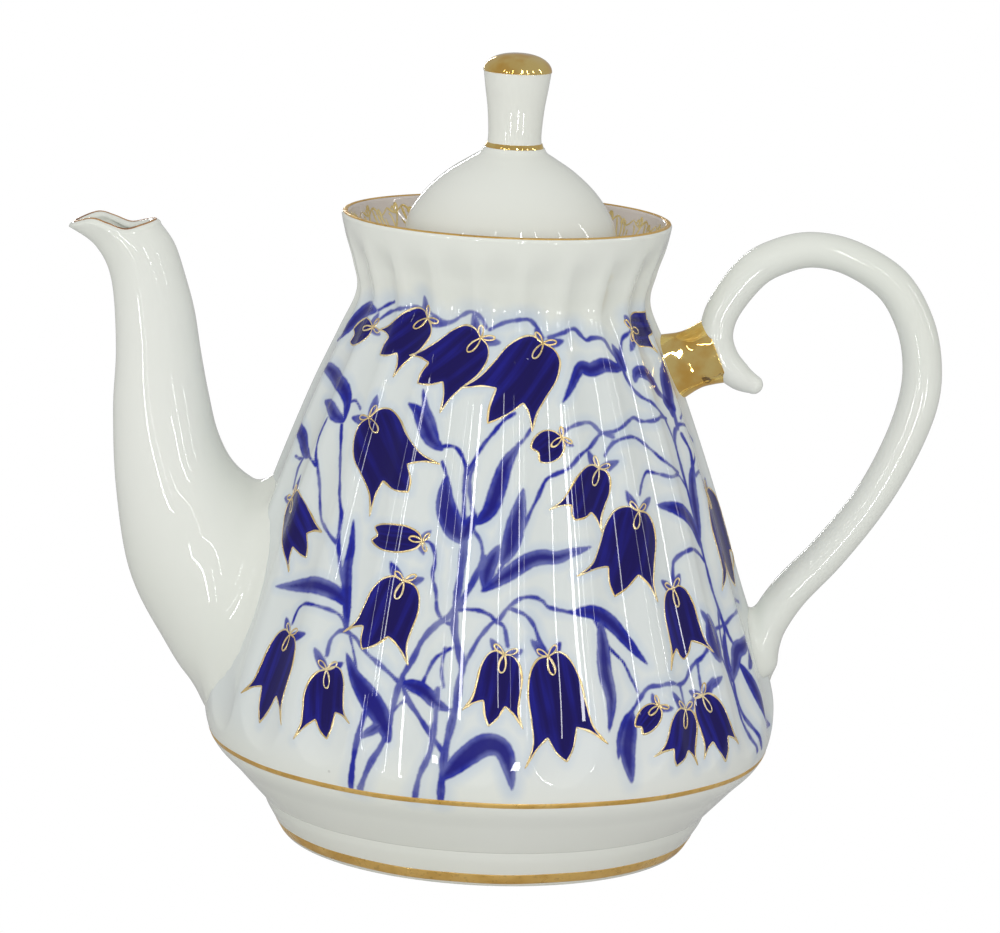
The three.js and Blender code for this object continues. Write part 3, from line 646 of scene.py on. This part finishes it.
def body_piece():
    azimuths = np.arange(COLUMNS) * COLUMN_STEP
    outer = on_body(azimuths[None, :], OUTLINE[:, 1:])
    bottom = on_circle(azimuths[None, :], np.array([[BODY_FOOT_RADIUS]]), np.array([[BODY_FOOT_Z]]))
    lip_angle = np.linspace(0, math.pi, LIP_ROWS + 1)[1:, None]
    lip = round_body(
        azimuths[None, :], OUTLINE[-1, 0] - LIP_WALL / 2 * (1 - np.cos(lip_angle)),
        RIM_Z + LIP_RISE * np.sin(lip_angle),
    )
    fine = np.concatenate([bottom, outer, lip])
    inner_outline = np.concatenate([
        [(neck_radius(z), z) for z in np.linspace(RIM_Z - 0.5, LEDGE_OUTLINE[0][1] + 0.6, NECK_ROWS)],
        LEDGE_OUTLINE,
        [(outline_radius(z) - WALL, z) for z in np.linspace(*BOWL_INSIDE_SPAN, BOWL_INSIDE_ROWS)],
        BOWL_FLOOR,
    ])
    coarse_azimuths = np.arange(INNER_COLUMNS) * WHOLE_TURN / INNER_COLUMNS
    coarse = round_body(coarse_azimuths[None, :], inner_outline[:, :1], inner_outline[:, 1:])
    fine_count, coarse_count = fine.shape[0] * COLUMNS, coarse.shape[0] * INNER_COLUMNS
    vertices = np.concatenate([
        fine.reshape(-1, 3), coarse.reshape(-1, 3), [(0, 0, BODY_FOOT_Z), (0, 0, inner_outline[-1, 1])],
    ])
    ratio = COLUMNS // INNER_COLUMNS
    j = np.arange(INNER_COLUMNS)
    last_fine = fine_count - COLUMNS
    bridge = [last_fine + (ratio * j + k) % COLUMNS for k in range(ratio + 1)]
    bridge += [fine_count + (j + 1) % INNER_COLUMNS, fine_count + j]
    centre = fine_count + coarse_count
    groups = [
        grid_faces(fine.shape[0], COLUMNS), np.stack(bridge, axis=-1),
        grid_faces(coarse.shape[0], INNER_COLUMNS, fine_count),
        fan(0, COLUMNS, centre, True), fan(centre - INNER_COLUMNS, INNER_COLUMNS, centre + 1),
    ]
    values = {key: np.full(len(vertices), blank) for key, blank in UNPAINTED.items()}
    for key, numbers in paint.items():
        values[key][COLUMNS:COLUMNS + numbers.size] = numbers.ravel()
    # Painted shade: this marks the inside of the neck and the inner half of the lip for a darker mauve-grey
    # tint.
    values["neck_shade"] = np.zeros(len(vertices))
    values["neck_shade"][fine_count - SHADED_LIP_ROWS * COLUMNS:fine_count + NECK_ROWS * INNER_COLUMNS] = 1
    return make_piece("painted_body", vertices, groups, values)


body = body_piece()


def drill(y, z):
    """The path of one strainer hole behind the spout."""
    angle = circle(DRILL_SIDES)
    ring = np.stack([0 * angle, y + HOLE_RADIUS * np.cos(angle), z + HOLE_RADIUS * np.sin(angle)], axis=-1)
    return np.stack([ring + (x, 0, 0) for x in DRILL_SPAN])


cut(body, join_lines("strainer_drills", [
    drill((i - (count - 1) / 2) * HOLE_PITCH, z) for z, count in STRAINER_ROWS for i in range(count)
]))

foot = turned("turned_foot", smooth_rows(FOOT_OUTLINE, 60), BAND_COLUMNS, closed=True)

# ---- Spout -------------------------------------------------------------------------------------
spout_rows = smooth_rows(SPOUT_STATIONS, SPOUT_ROWS)
wave = smooth_rows(LIP_WAVE, 60)


def spout_rings(rows, inset):
    """Rings of the spout, each drawn in from its surface by inset."""
    outer, inner = rows[:, 0:2], rows[:, 2:4]
    middle, reach = (outer + inner) / 2, (inner - outer) / 2
    share = 1 - inset / np.linalg.norm(reach, axis=1, keepdims=True)
    cosine, sine = np.cos(circle(SPOUT_SIDES)), np.sin(circle(SPOUT_SIDES))
    x = middle[:, :1] + (reach * share)[:, :1] * cosine
    z = middle[:, 1:] + (reach * share)[:, 1:] * cosine
    y = (rows[:, 4:5] - inset) * sine
    near_lip = smoothstep((z - (RIM_Z - 4 - LIP_WAVE_DEPTH)) / LIP_WAVE_DEPTH)
    z = z + near_lip * np.interp((1 + cosine) / 2, wave[:, 0], wave[:, 1])
    return np.stack([x, y, z], axis=-1)


def from_surface(points):
    """Distance of points outside the fluted body, measured square to its axis, and their radius."""
    x, y = points[..., 0] - lean(points[..., 2]), points[..., 1]
    azimuth = np.degrees(np.arctan2(x, -y))
    radius = np.hypot(x, y)
    return radius - outline_radius(points[..., 2]) + flute_depth(azimuth, points[..., 2]), radius


def ease_onto_body(rings, reach, sink=1.2):
    """Spreads a loft where it nears the body, as slip smoothed round a joint, and ends it in the wall."""
    distance, radius = from_surface(rings)
    near = np.clip(1 - distance / reach, 0, 1)
    push = reach * (1 - np.sqrt(1 - (0.95 * near) ** 2))
    out = rings - rings.mean(axis=1, keepdims=True)
    radial = np.stack([rings[..., 0], rings[..., 1], 0 * radius], axis=-1) / radius[..., None]
    out -= radial * (out * radial).sum(-1, keepdims=True)
    rings = rings + unit(out, 1e-6) * push[..., None]
    moved, radius = from_surface(rings)
    wanted = radius + np.where(near > 0, np.maximum(distance, -sink) - moved, 0)
    rings[..., :2] *= (wanted / radius)[..., None]
    return rings


def spout_piece():
    outside = ease_onto_body(spout_rings(spout_rows, 0), reach=5)
    tip = spout_rows[-1:]
    lip = [spout_rings(tip, LIP_THICKNESS * (1 - math.cos(a)) / 2) + (0, 0, LIP_CREST * math.sin(a))
           for a in np.linspace(0, math.pi, 12)[1:-1]]
    back = spout_rows[::-2]
    thicker = (LIP_THICKNESS - SPOUT_WALL) * np.exp(-np.arange(len(back)) / 3.0)[:, None]
    inside = ease_onto_body(spout_rings(back, SPOUT_WALL + thicker), reach=0.01, sink=1.8)
    return loft("spout", np.concatenate([outside, *lip, inside]), closed_rows=True)


spout = spout_piece()


# ---- Handle and strut ----------------------------------------------------------------------------
def tube_rings(rows, sides, round_ends=False):
    """Oval rings square to a centre line in the XZ plane."""
    ahead = unit(np.gradient(rows[:, :2], axis=0))
    angle = circle(sides)
    out, wide = rows[:, 2:3] * np.cos(angle), rows[:, 3:4] * np.sin(angle)
    x = rows[:, :1] + ahead[:, 1:] * out
    z = rows[:, 1:2] - ahead[:, :1] * out
    rings = np.stack([x, wide, z], axis=-1)
    if not round_ends:
        return rings
    caps = []
    for end, way in ((0, -1), (-1, 1)):
        centre = rings[end].mean(0)
        forward = np.array([ahead[end, 0], 0, ahead[end, 1]]) * way * rows[end, 2]
        caps.append([centre + (rings[end] - centre) * math.cos(a) + forward * math.sin(a)
                     for a in np.linspace(0, math.pi / 2 * 0.94, 8)[1:]])
    return np.concatenate([caps[0][::-1], rings, caps[1]])


handle_rings = tube_rings(smooth_rows(HANDLE_STATIONS, HANDLE_ROWS) * HANDLE_SLIMMING, HANDLE_SIDES, True)
handle = loft("handle", ease_onto_body(handle_rings, reach=2.6, sink=1.4))

along, high, wide = smooth_rows(STRUT_STATIONS, STRUT_ROWS).T
strut_line = np.stack([
    STRUT_START[0] + along * math.cos(STRUT_RISE), STRUT_START[1] + along * math.sin(STRUT_RISE), high, wide,
], axis=1)
strut = loft("gilded_strut", tube_rings(strut_line, STRUT_SIDES))


# ---- Lid ---------------------------------------------------------------------------------------
def cap_outline():
    angle = np.linspace(0, math.pi / 2, 22)[:-1]
    radius = CAP_RADIUS * np.cos(angle) ** CAP_FULLNESS
    return np.concatenate([[CAP_SEAT], np.stack([radius, CAP_Z + (TOP_Z - CAP_Z) * np.sin(angle)], axis=1)])


dome_outline = np.concatenate([even_rows(DOME_OUTLINE, 110), VENT_WALL, even_rows(DOME_INSIDE, 40)])
lid = turned("lid_dome", dome_outline, closed=True)
knob = turned("lid_knob", np.concatenate([smooth_rows(KNOB_OUTLINE, 60), [KNOB_TOP]]), 128)
cap = turned("knob_cap", cap_outline(), 128)
knob_ring = turned("knob_ring", KNOB_RING_OUTLINE, 128)
skirt = turned("lid_skirt", even_rows(SKIRT_OUTLINE, 40)[::-1], 192, closed=True)


# ---- Gold bands and the neck's gold leaf ---------------------------------------------------------
BAND_LIFT, BAND_SINK = 0.07, 0.25
FOOT_RING_EDGE = 41.0
# The rim's gold: degrees over the lip from outside to inside, then how far it stands off the glaze.
RIM_SECTION = [(44, 0), (52, 0.06), (84, 0.08), (118, 0.06), (126, 0), (84, -0.2)]
band_azimuths = np.arange(BAND_COLUMNS)[None, :] * WHOLE_TURN / BAND_COLUMNS


def band(name, radius_at, low, high):
    """A flat band of gold round the pot with edges drawn by a slightly unsteady hand."""
    hand = np.random.default_rng(5)
    turns = circle(BAND_COLUMNS)
    drift = sum(hand.uniform(-0.05, 0.05) * np.sin(k * turns + hand.uniform(0, 6)) for k in (2, 3, 5, 8, 13))
    share = np.array([0, 0.08, 0.92, 1, 0.92, 0.08])
    lifts = np.array([0.0, BAND_LIFT, BAND_LIFT, 0.0, -BAND_SINK, -BAND_SINK])
    heights = low + (high - low) * share[:, None] + drift[None, :]
    radius = radius_at(band_azimuths, heights) + lifts[:, None]
    return loft(name, round_body(band_azimuths, radius, heights), closed_rows=True)


def body_radius(azimuths, z):
    return outline_radius(z) - flute_depth(azimuths, z)


foot_line = smooth_rows(FOOT_OUTLINE, 200)
foot_line = foot_line[np.argmax(foot_line[:, 0] > FOOT_RING_EDGE):]


def foot_radius(_azimuths, z):
    return np.interp(z, foot_line[:, 1], foot_line[:, 0])


shoulder_band = band("shoulder_band", body_radius, 20.1, 21.2)
foot_band = band("foot_band", foot_radius, 0.75, 2.95)
rim_angle, rim_lift = (column[:, None] for column in np.array(RIM_SECTION).T)
rim_angle = np.radians(rim_angle)
rim_line = loft("rim_line", round_body(
    band_azimuths, OUTLINE[-1, 0] - LIP_WALL / 2 + (LIP_WALL / 2 + rim_lift) * np.cos(rim_angle),
    RIM_Z + (LIP_RISE + rim_lift) * np.sin(rim_angle),
), closed_rows=True)


def in_neck(azimuth, z, lift=0.0):
    return round_body(azimuth, neck_radius(z) - lift, z)


NECK_REPEATS, MOTIF_SCALE = 20, 0.7
# The scroll inside the neck: width, then (degrees before scaling, height) points.
NECK_MOTIF = [
    (0.62, (0, 117.4), (3, 119.2), (7, 120.2), (11, 122.2), (14, 125.2)),
    (0.5, (3, 119.2), (2.2, 121.4), (3.4, 123.2)), (0.5, (5, 119.8), (5.2, 122.2), (7, 124.2)),
    (0.5, (7.4, 120.4), (8.2, 122.8), (10, 124.8)), (0.5, (3.4, 119.2), (6, 118.4), (8.6, 118.8)),
    (0.5, (7.2, 120.2), (9.8, 119.6), (12, 120.4)), (0.5, (11, 122.2), (13.2, 121.8), (15.4, 122.8)),
    (0.62, (25, 117.6), (23, 120.4), (19.6, 122.2), (17.4, 124.8), (18.6, 126), (20, 124.8)),
    (0.5, (23, 120.4), (20.4, 119.4), (18.2, 120)), (0.5, (21.4, 121.4), (22.8, 123.4), (24.6, 124.2)),
    (0.5, (0, 125.3), (6, 123.9), (13, 125.5), (19, 124.1), (25.7, 125.3)),
    (0.45, (6, 123.9), (8, 125), (10.4, 124.2)), (0.45, (19, 124.1), (21, 125.4), (23, 124.4)),
    (0.5, (13.4, 117.4), (15.2, 119), (17.4, 117.8)), (0.45, (9.4, 117), (11.4, 117.8), (13.2, 117.2)),
]
neck_hand = np.random.default_rng(3)
for repeat in range(NECK_REPEATS):
    start = repeat * WHOLE_TURN / NECK_REPEATS + neck_hand.uniform(-0.8, 0.8)
    for width, *points in NECK_MOTIF:
        path = even_rows([(start + a * MOTIF_SCALE, z) for a, z in points], 9 * len(points))
        neck_gold.append(gold_line(path, width, neck_hand, surface=in_neck))
outline_gold = join_lines("gold_outlines", body_gold)
neck_leaf = join_lines("neck_gold_leaf", neck_gold)


def lip_lines():
    """The brown-gold line round the spout's lip, on its outer edge."""
    inset = LIP_THICKNESS * LIP_LINE_INSET
    ring = spout_rings(spout_rows[-1:], inset)[0] + (0, 0, LIP_CREST - LIP_LINE_DROP)
    ahead = unit(np.roll(ring, -1, axis=0) - np.roll(ring, 1, axis=0))
    up = np.array([0, 0, 1.0])
    side = np.cross(ahead, up)
    section = [(-0.3, -0.1), (-0.2, 0.12), (0, 0.2), (0.2, 0.12), (0.34, -0.16), (0, -0.3)]
    return loft("spout_lip_line", np.stack([ring + side * x + up * y for x, y in section]), closed_rows=True)


spout_line = lip_lines()


# ---- Materials ---------------------------------------------------------------------------------
class Nodes:
    """Short ways to build the nodes of a material or of the world."""

    def __init__(self, owner, shader="Principled BSDF"):
        owner.use_nodes = True
        self.owner = owner
        self.tree = owner.node_tree
        self.surface = self.tree.nodes[shader]

    def add(self, kind, inputs=(), **settings):
        node = self.tree.nodes.new(kind)
        for key, value in settings.items():
            setattr(node, key, value)
        for key, value in dict(inputs).items():
            if isinstance(value, bpy.types.NodeSocket):
                self.tree.links.new(value, node.inputs[key])
            else:
                node.inputs[key].default_value = value
        return node

    def math(self, operation, a, b, clamp=False):
        node = self.add("ShaderNodeMath", {0: a, 1: b}, operation=operation, use_clamp=clamp)
        return node.outputs[0]

    def times(self, a, b, clamp=False):
        return self.math("MULTIPLY", a, b, clamp)

    def place(self):
        """The object's own coordinates."""
        return self.add("ShaderNodeTexCoord").outputs["Object"]

    def ramp(self, value, low, high, out_low=0.0, out_high=1.0):
        node = self.add("ShaderNodeMapRange", {0: value, 1: low, 2: high, 3: out_low, 4: out_high},
                        interpolation_type="SMOOTHSTEP")
        return node.outputs[0]

    def noise(self, scale, detail, coordinates=None):
        inputs = {"Scale": scale, "Detail": detail}
        if coordinates is not None:
            inputs["Vector"] = coordinates
        return self.add("ShaderNodeTexNoise", inputs).outputs["Fac"]

    def mix(self, share, a, b):
        return self.add("ShaderNodeMix", {0: share, 6: a, 7: b}, data_type="RGBA").outputs[2]

    def value_of(self, key):
        return self.add("ShaderNodeAttribute", attribute_name=key).outputs["Fac"]

    def set(self, **inputs):
        for key, value in inputs.items():
            socket = self.surface.inputs[key.replace("_", " ")]
            if isinstance(value, bpy.types.NodeSocket):
                self.tree.links.new(value, socket)
            else:
                socket.default_value = value


def colour(red, green, blue):
    """A colour as the eye sees it, 0 to 255, turned into shader numbers."""
    linear = [((c / 255 + 0.055) / 1.055) ** 2.4 if c > 10 else c / 255 / 12.92 for c in (red, green, blue)]
    return (*linear, 1.0)


GLAZE_COOL, GLAZE_CLEAR, IRON_SPECK = colour(231, 234, 225), colour(236, 238, 231), colour(96, 84, 72)
COBALT_HALO, COBALT_THIN, COBALT_FULL = colour(176, 196, 222), colour(34, 42, 156), colour(26, 22, 120)
PETAL_DARK, PETAL_LIGHT, PETAL_EDGE = colour(18, 6, 84), colour(30, 30, 146), colour(34, 34, 140)
# The last two colours: a darker mauve-grey painted as shade inside the neck, and worn gold.
NECK_SHADE_TINT, WORN_GOLD = colour(212, 203, 197), colour(120, 84, 40)


def glaze(nodes, place):
    """Clear glossy glaze: faint cloudiness, a few iron specks and a slightly uneven surface."""
    cloud = nodes.noise(14.0, 2.0, place)
    base = nodes.mix(nodes.ramp(cloud, 0.35, 0.68), GLAZE_COOL, GLAZE_CLEAR)
    speck_spot = nodes.add("ShaderNodeTexVoronoi", {"Vector": place, "Scale": 62.0}).outputs["Distance"]
    speck_rare = nodes.noise(31.0, 0.0, place)
    speck = nodes.times(nodes.ramp(speck_spot, 0.03, 0.012), nodes.ramp(speck_rare, 0.66, 0.7))
    base = nodes.mix(nodes.times(speck, 0.3), base, IRON_SPECK)
    uneven = nodes.noise(38.0, 1.0, place)
    fine = nodes.noise(420.0, 2.0, place)
    height = nodes.math("ADD", uneven, nodes.times(fine, 0.025))
    bump = nodes.add("ShaderNodeBump", {"Height": height, "Strength": 0.28, "Distance": 0.0006})
    nodes.set(Normal=bump.outputs[0], Roughness=0.22, IOR=1.5, Coat_Weight=1.0, Coat_Roughness=0.015,
              Coat_IOR=1.4, Specular_IOR_Level=0.0)
    return base


def porcelain_material():
    nodes = Nodes(bpy.data.materials.new("porcelain_glaze"))
    place = nodes.place()
    nodes.set(Base_Color=glaze(nodes, place))
    return nodes.owner


def painted_material():
    nodes = Nodes(bpy.data.materials.new("painted_glaze"))
    place = nodes.place()
    clean = glaze(nodes, place)
    bell_depth, stroke_depth, tone = (nodes.value_of(key) for key in ("bell", "stroke", "tone"))
    ragged = nodes.math("SUBTRACT", nodes.noise(900.0, 3.0, place), 0.5)
    soft = nodes.math("ADD", stroke_depth, nodes.times(ragged, 0.35))
    crisp = nodes.math("ADD", bell_depth, nodes.times(ragged, 0.2))
    stroke = nodes.times(nodes.ramp(soft, -0.26, 0.26), tone)
    pooled = nodes.noise(150.0, 3.0, place)
    stroke = nodes.times(stroke, nodes.ramp(pooled, 0.25, 0.75, 0.82, 1.12), clamp=True)
    flower = nodes.ramp(crisp, -0.22, 0.22)
    depth = nodes.math("MAXIMUM", soft, crisp)
    halo = nodes.ramp(depth, -3.8, 0.3)
    halo = nodes.times(halo, nodes.ramp(nodes.noise(60.0, 2.0, place), 0.3, 0.7, 0.3, 0.56))
    height = nodes.add("ShaderNodeSeparateXYZ", {0: place}).outputs[2]
    washed = nodes.times(nodes.ramp(height, 0.02, 0.032), nodes.ramp(height, 0.114, 0.1, 0.0, 0.2))
    base = nodes.mix(nodes.math("MAXIMUM", halo, washed), clean, COBALT_HALO)
    thin = nodes.mix(stroke, base, COBALT_THIN)
    body_of_stroke = nodes.mix(nodes.ramp(soft, 0.2, 1.4), thin, COBALT_FULL)
    stroke_mask = nodes.times(nodes.ramp(soft, 0.1, 0.8), tone)
    base = nodes.mix(stroke_mask, thin, body_of_stroke)
    across, along = nodes.value_of("across"), nodes.value_of("along")
    streak_place = nodes.add("ShaderNodeCombineXYZ", {
        0: nodes.times(across, 4.2), 1: nodes.times(along, 0.5),
    }).outputs[0]
    streak = nodes.noise(1.0, 2.5, streak_place)
    wash = nodes.noise(85.0, 2.0, place)
    light = nodes.times(nodes.ramp(streak, 0.4, 0.8), nodes.ramp(wash, 0.3, 0.65, 0.25, 1.0))
    petal = nodes.mix(light, PETAL_DARK, PETAL_LIGHT)
    edge = nodes.ramp(crisp, 0.0, 1.3, 0.35, 0.0)
    petal = nodes.mix(edge, petal, PETAL_EDGE)
    base = nodes.mix(flower, base, petal)
    # Painted shade: the inside of the neck and the inner half of the lip are tinted a darker mauve-grey.
    nodes.set(Base_Color=nodes.mix(nodes.value_of("neck_shade"), base, NECK_SHADE_TINT))
    return nodes.owner


def gold_material(name, dark, light, roughness, wave_strength, worn=0.0, metallic=1.0):
    """Fired-on gold: metal with brush streaks, uneven thickness and small pits."""
    nodes = Nodes(bpy.data.materials.new(name))
    place = nodes.place()
    patch = nodes.noise(160.0, 3.0, place)
    base = nodes.mix(nodes.ramp(patch, 0.35, 0.65), dark, light)
    if worn:
        pits = nodes.noise(1100.0, 2.0, place)
        base = nodes.mix(nodes.times(nodes.ramp(pits, 0.56, 0.7), worn), base, WORN_GOLD)
    wave_height = nodes.noise(95.0, 2.0, place)
    bump = nodes.add("ShaderNodeBump", {"Height": wave_height, "Strength": wave_strength, "Distance": 0.0012})
    rough = nodes.ramp(nodes.noise(240.0, 2.0, place), 0.3, 0.7, roughness * 0.7, roughness * 1.3)
    nodes.set(Base_Color=base, Metallic=metallic, Roughness=rough, Normal=bump.outputs[0])
    return nodes.owner


porcelain = porcelain_material()
painted = painted_material()
mirror_gold = gold_material("mirror_gold", colour(242, 192, 98), colour(255, 226, 146), 0.05, 1.0)
line_gold = gold_material("line_gold", colour(236, 206, 140), colour(252, 234, 188), 0.3, 0.2, 0.2, 0.65)
leaf_gold = gold_material("leaf_gold", colour(206, 180, 112), colour(232, 212, 152), 0.34, 0.2, 0.1, 0.3)
band_gold = gold_material("band_gold", colour(212, 168, 84), colour(228, 188, 108), 0.38, 0.15, 0.25, 0.5)
lip_gold = gold_material("lip_gold", colour(160, 110, 70), colour(206, 158, 106), 0.3, 0.2, 0.3, 0.5)


# ---- Pieces and bodies ---------------------------------------------------------------------------
def wear(piece, material):
    piece.data.materials.clear()
    piece.data.materials.append(material)


# Each piece: object, material, body, slot, and the CAD nodes whose place it takes.
PIECES = [
    (body, painted, "pot", "painted_porcelain", ["body_shell", "neck"]),
    (foot, porcelain, "pot", "porcelain", ["foot_base"]),
    (spout, porcelain, "pot", "porcelain", ["spout"]),
    (handle, porcelain, "pot", "porcelain", ["handle_loop"]),
    (strut, mirror_gold, "pot", "gilding", ["handle_strut"]),
    (outline_gold, line_gold, "pot", "gilding", []),
    (neck_leaf, leaf_gold, "pot", "gilding", []),
    (shoulder_band, band_gold, "pot", "gilding", ["shoulder_gilding"]),
    (foot_band, band_gold, "pot", "gilding", ["foot_gilding"]),
    (rim_line, band_gold, "pot", "gilding", ["rim_gilding"]),
    (spout_line, lip_gold, "pot", "gilding", ["spout_lip_gilding"]),
    (lid, porcelain, "lid", "porcelain", ["lid_dome"]),
    (skirt, porcelain, "lid", "porcelain", ["lid_skirt"]),
    (knob, porcelain, "lid", "porcelain", ["lid_knob"]),
    (cap, mirror_gold, "lid", "gilding", ["knob_cap_gilding"]),
    (knob_ring, mirror_gold, "lid", "gilding", ["knob_ring_gilding"]),
]
for piece, material, rides, slot, nodes_replaced in PIECES:
    wear(piece, material)
    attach(piece, rides)
    if nodes_replaced:
        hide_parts(*nodes_replaced)
wear(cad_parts["lid_lock_lug"], porcelain)


# ---- Stage -------------------------------------------------------------------------------------
FLOOR_SIZE = 8.0
centre = (cad_size[0] + cad_size[1]) / 2
span = (cad_size[1] - cad_size[0]).length
# Places and sizes of lamps are in spans of the pot.
STRIP_DISTANCE, STRIP_GAIN = 4.5, 1.2
GLOW_DISTANCE, GLOW_ELEVATION, GLOW_SIZE = 6, 14, 2.6
GLOWS = [("front_glow", -4, 7.2), ("back_glow", 186, 6.0)]   # name, azimuth, power
# The camera, in millimetres and degrees: distance, height and aim from the pot's axis and foot, then roll.
CAMERA_DISTANCE, CAMERA_HEIGHT, CAMERA_AIM, CAMERA_ROLL = 891.8, 245.9, (0.07, 0, 76.2), 2.62
CAMERA_LENS, CAMERA_SENSOR, CAMERA_CLIP = 161.5, 36, (0.02, 20)


def studio_floor():
    """A large pale sheet: matt paper to the lamps, plain white to the camera."""
    half = FLOOR_SIZE / 2
    mesh = bpy.data.meshes.new("studio_floor")
    corners = [(-half, -half, 0), (half, -half, 0), (half, half, 0), (-half, half, 0)]
    mesh.from_pydata(corners, [], [(0, 1, 2, 3)])
    floor = add_object("studio_floor", mesh)
    paper = Nodes(bpy.data.materials.new("studio_paper"))
    shade = paper.add("ShaderNodeMapRange", {0: paper.noise(300.0, 2.0), 3: 0.7, 4: 0.74}).outputs[0]
    paper.set(Base_Color=shade, Roughness=0.9, Specular_IOR_Level=0.0)
    to_camera = paper.add("ShaderNodeLightPath").outputs["Is Camera Ray"]
    white = paper.add("ShaderNodeEmission").outputs[0]
    shown = paper.add("ShaderNodeMixShader", {0: to_camera, 1: paper.surface.outputs[0], 2: white}).outputs[0]
    paper.tree.links.new(shown, paper.tree.nodes["Material Output"].inputs["Surface"])
    mesh.materials.append(paper.owner)
    floor.visible_glossy = floor.visible_shadow = False


def softbox(name, place, width, height, power):
    """A rectangular lamp that faces the middle of the pot."""
    data = bpy.data.lights.new(name, "AREA")
    data.shape, data.size, data.size_y, data.energy = "RECTANGLE", width, height, power
    lamp = add_object(name, data)
    lamp.location = place
    lamp.rotation_mode = "QUATERNION"
    lamp.rotation_quaternion = (centre - place).to_track_quat("-Z", "Y")
    return lamp


def studio_world():
    """Even pale light all round: white to the camera and dimmer in reflections."""
    world = bpy.data.worlds.new("studio")
    bpy.context.scene.world = world
    sky = Nodes(world, "Background")
    direction = sky.add("ShaderNodeTexCoord").outputs["Generated"]
    height = sky.add("ShaderNodeSeparateXYZ", {0: direction}).outputs[2]
    level = sky.add("ShaderNodeMapRange", {0: height, 1: -0.1, 2: 0.9, 3: 0.72, 4: 0.68}).outputs[0]
    path = sky.add("ShaderNodeLightPath").outputs
    mirrored = sky.add("ShaderNodeMix", {0: path["Is Glossy Ray"], 2: level, 3: 0.4}).outputs[0]
    seen = sky.add("ShaderNodeMix", {0: path["Is Camera Ray"], 2: mirrored, 3: 1.0}).outputs[0]
    sky.set(Color=(1, 1, 1, 1), Strength=seen)


def around(azimuth, elevation, distance):
    """A place round the pot: azimuth 0 is in front of it, + goes towards the handle."""
    a, e = math.radians(azimuth), math.radians(elevation)
    direction = Vector((math.sin(a) * math.cos(e), -math.cos(a) * math.cos(e), math.sin(e)))
    return centre + direction * distance * span


studio_floor()
studio_world()

# Strip lamps seen only as reflections draw the upright highlights; the two glows light the form.
# Each strip: azimuth, elevation, width, height, brightness.
STRIPS = [
    (-38, 3, 0.12, 1.9, 26), (-27, 3, 0.04, 2.1, 14), (-52, 24, 0.05, 1.2, 14), (-16, 26, 0.05, 1.6, 16),
    (14, 24, 0.16, 1.7, 22), (31, 22, 0.07, 2.1, 18), (60, 22, 0.08, 1.6, 14), (96, 20, 0.1, 2.2, 16),
    (195, 12, 0.1, 1.8, 16), (-18, -11, 0.2, 0.6, 24), (12, -13, 0.35, 0.6, 26), (36, -11, 0.2, 0.6, 24),
]
for number, (azimuth, elevation, width, height, brightness) in enumerate(STRIPS):
    place = around(azimuth, elevation, STRIP_DISTANCE)
    power = brightness * width * height * span**2 * math.pi * STRIP_GAIN
    strip = softbox(f"strip_{number}", place, width * span, height * span, power)
    strip.visible_diffuse = False
for name, azimuth, power in GLOWS:
    place = around(azimuth, GLOW_ELEVATION, GLOW_DISTANCE)
    glow = softbox(name, place, GLOW_SIZE * span, GLOW_SIZE * span, power)
    glow.visible_glossy = False


def camera():
    """Long lens a little above the pot, held with a slight roll."""
    turn, roll = math.radians(VIEW_TURN), math.radians(CAMERA_ROLL)
    place = Vector((CAMERA_DISTANCE * math.sin(turn), -CAMERA_DISTANCE * math.cos(turn), CAMERA_HEIGHT)) * MM
    forward = (Vector(CAMERA_AIM) * MM - place).normalized()
    right = forward.cross(Vector((0, 0, 1))).normalized()
    up = right.cross(forward)
    tilted_right = right * math.cos(roll) + up * math.sin(roll)
    tilted_up = up * math.cos(roll) - right * math.sin(roll)
    data = bpy.data.cameras.new("photo_camera")
    data.sensor_width, data.lens = CAMERA_SENSOR, CAMERA_LENS
    data.clip_start, data.clip_end = CAMERA_CLIP
    view = add_object("photo_camera", data)
    rows = [tilted_right, tilted_up, -forward]
    view.matrix_world = Matrix([[*(row[i] for row in rows), place[i]] for i in range(3)] + [[0, 0, 0, 1]])
    bpy.context.scene.camera = view


camera()
bpy.context.scene.view_settings.view_transform = "Standard"
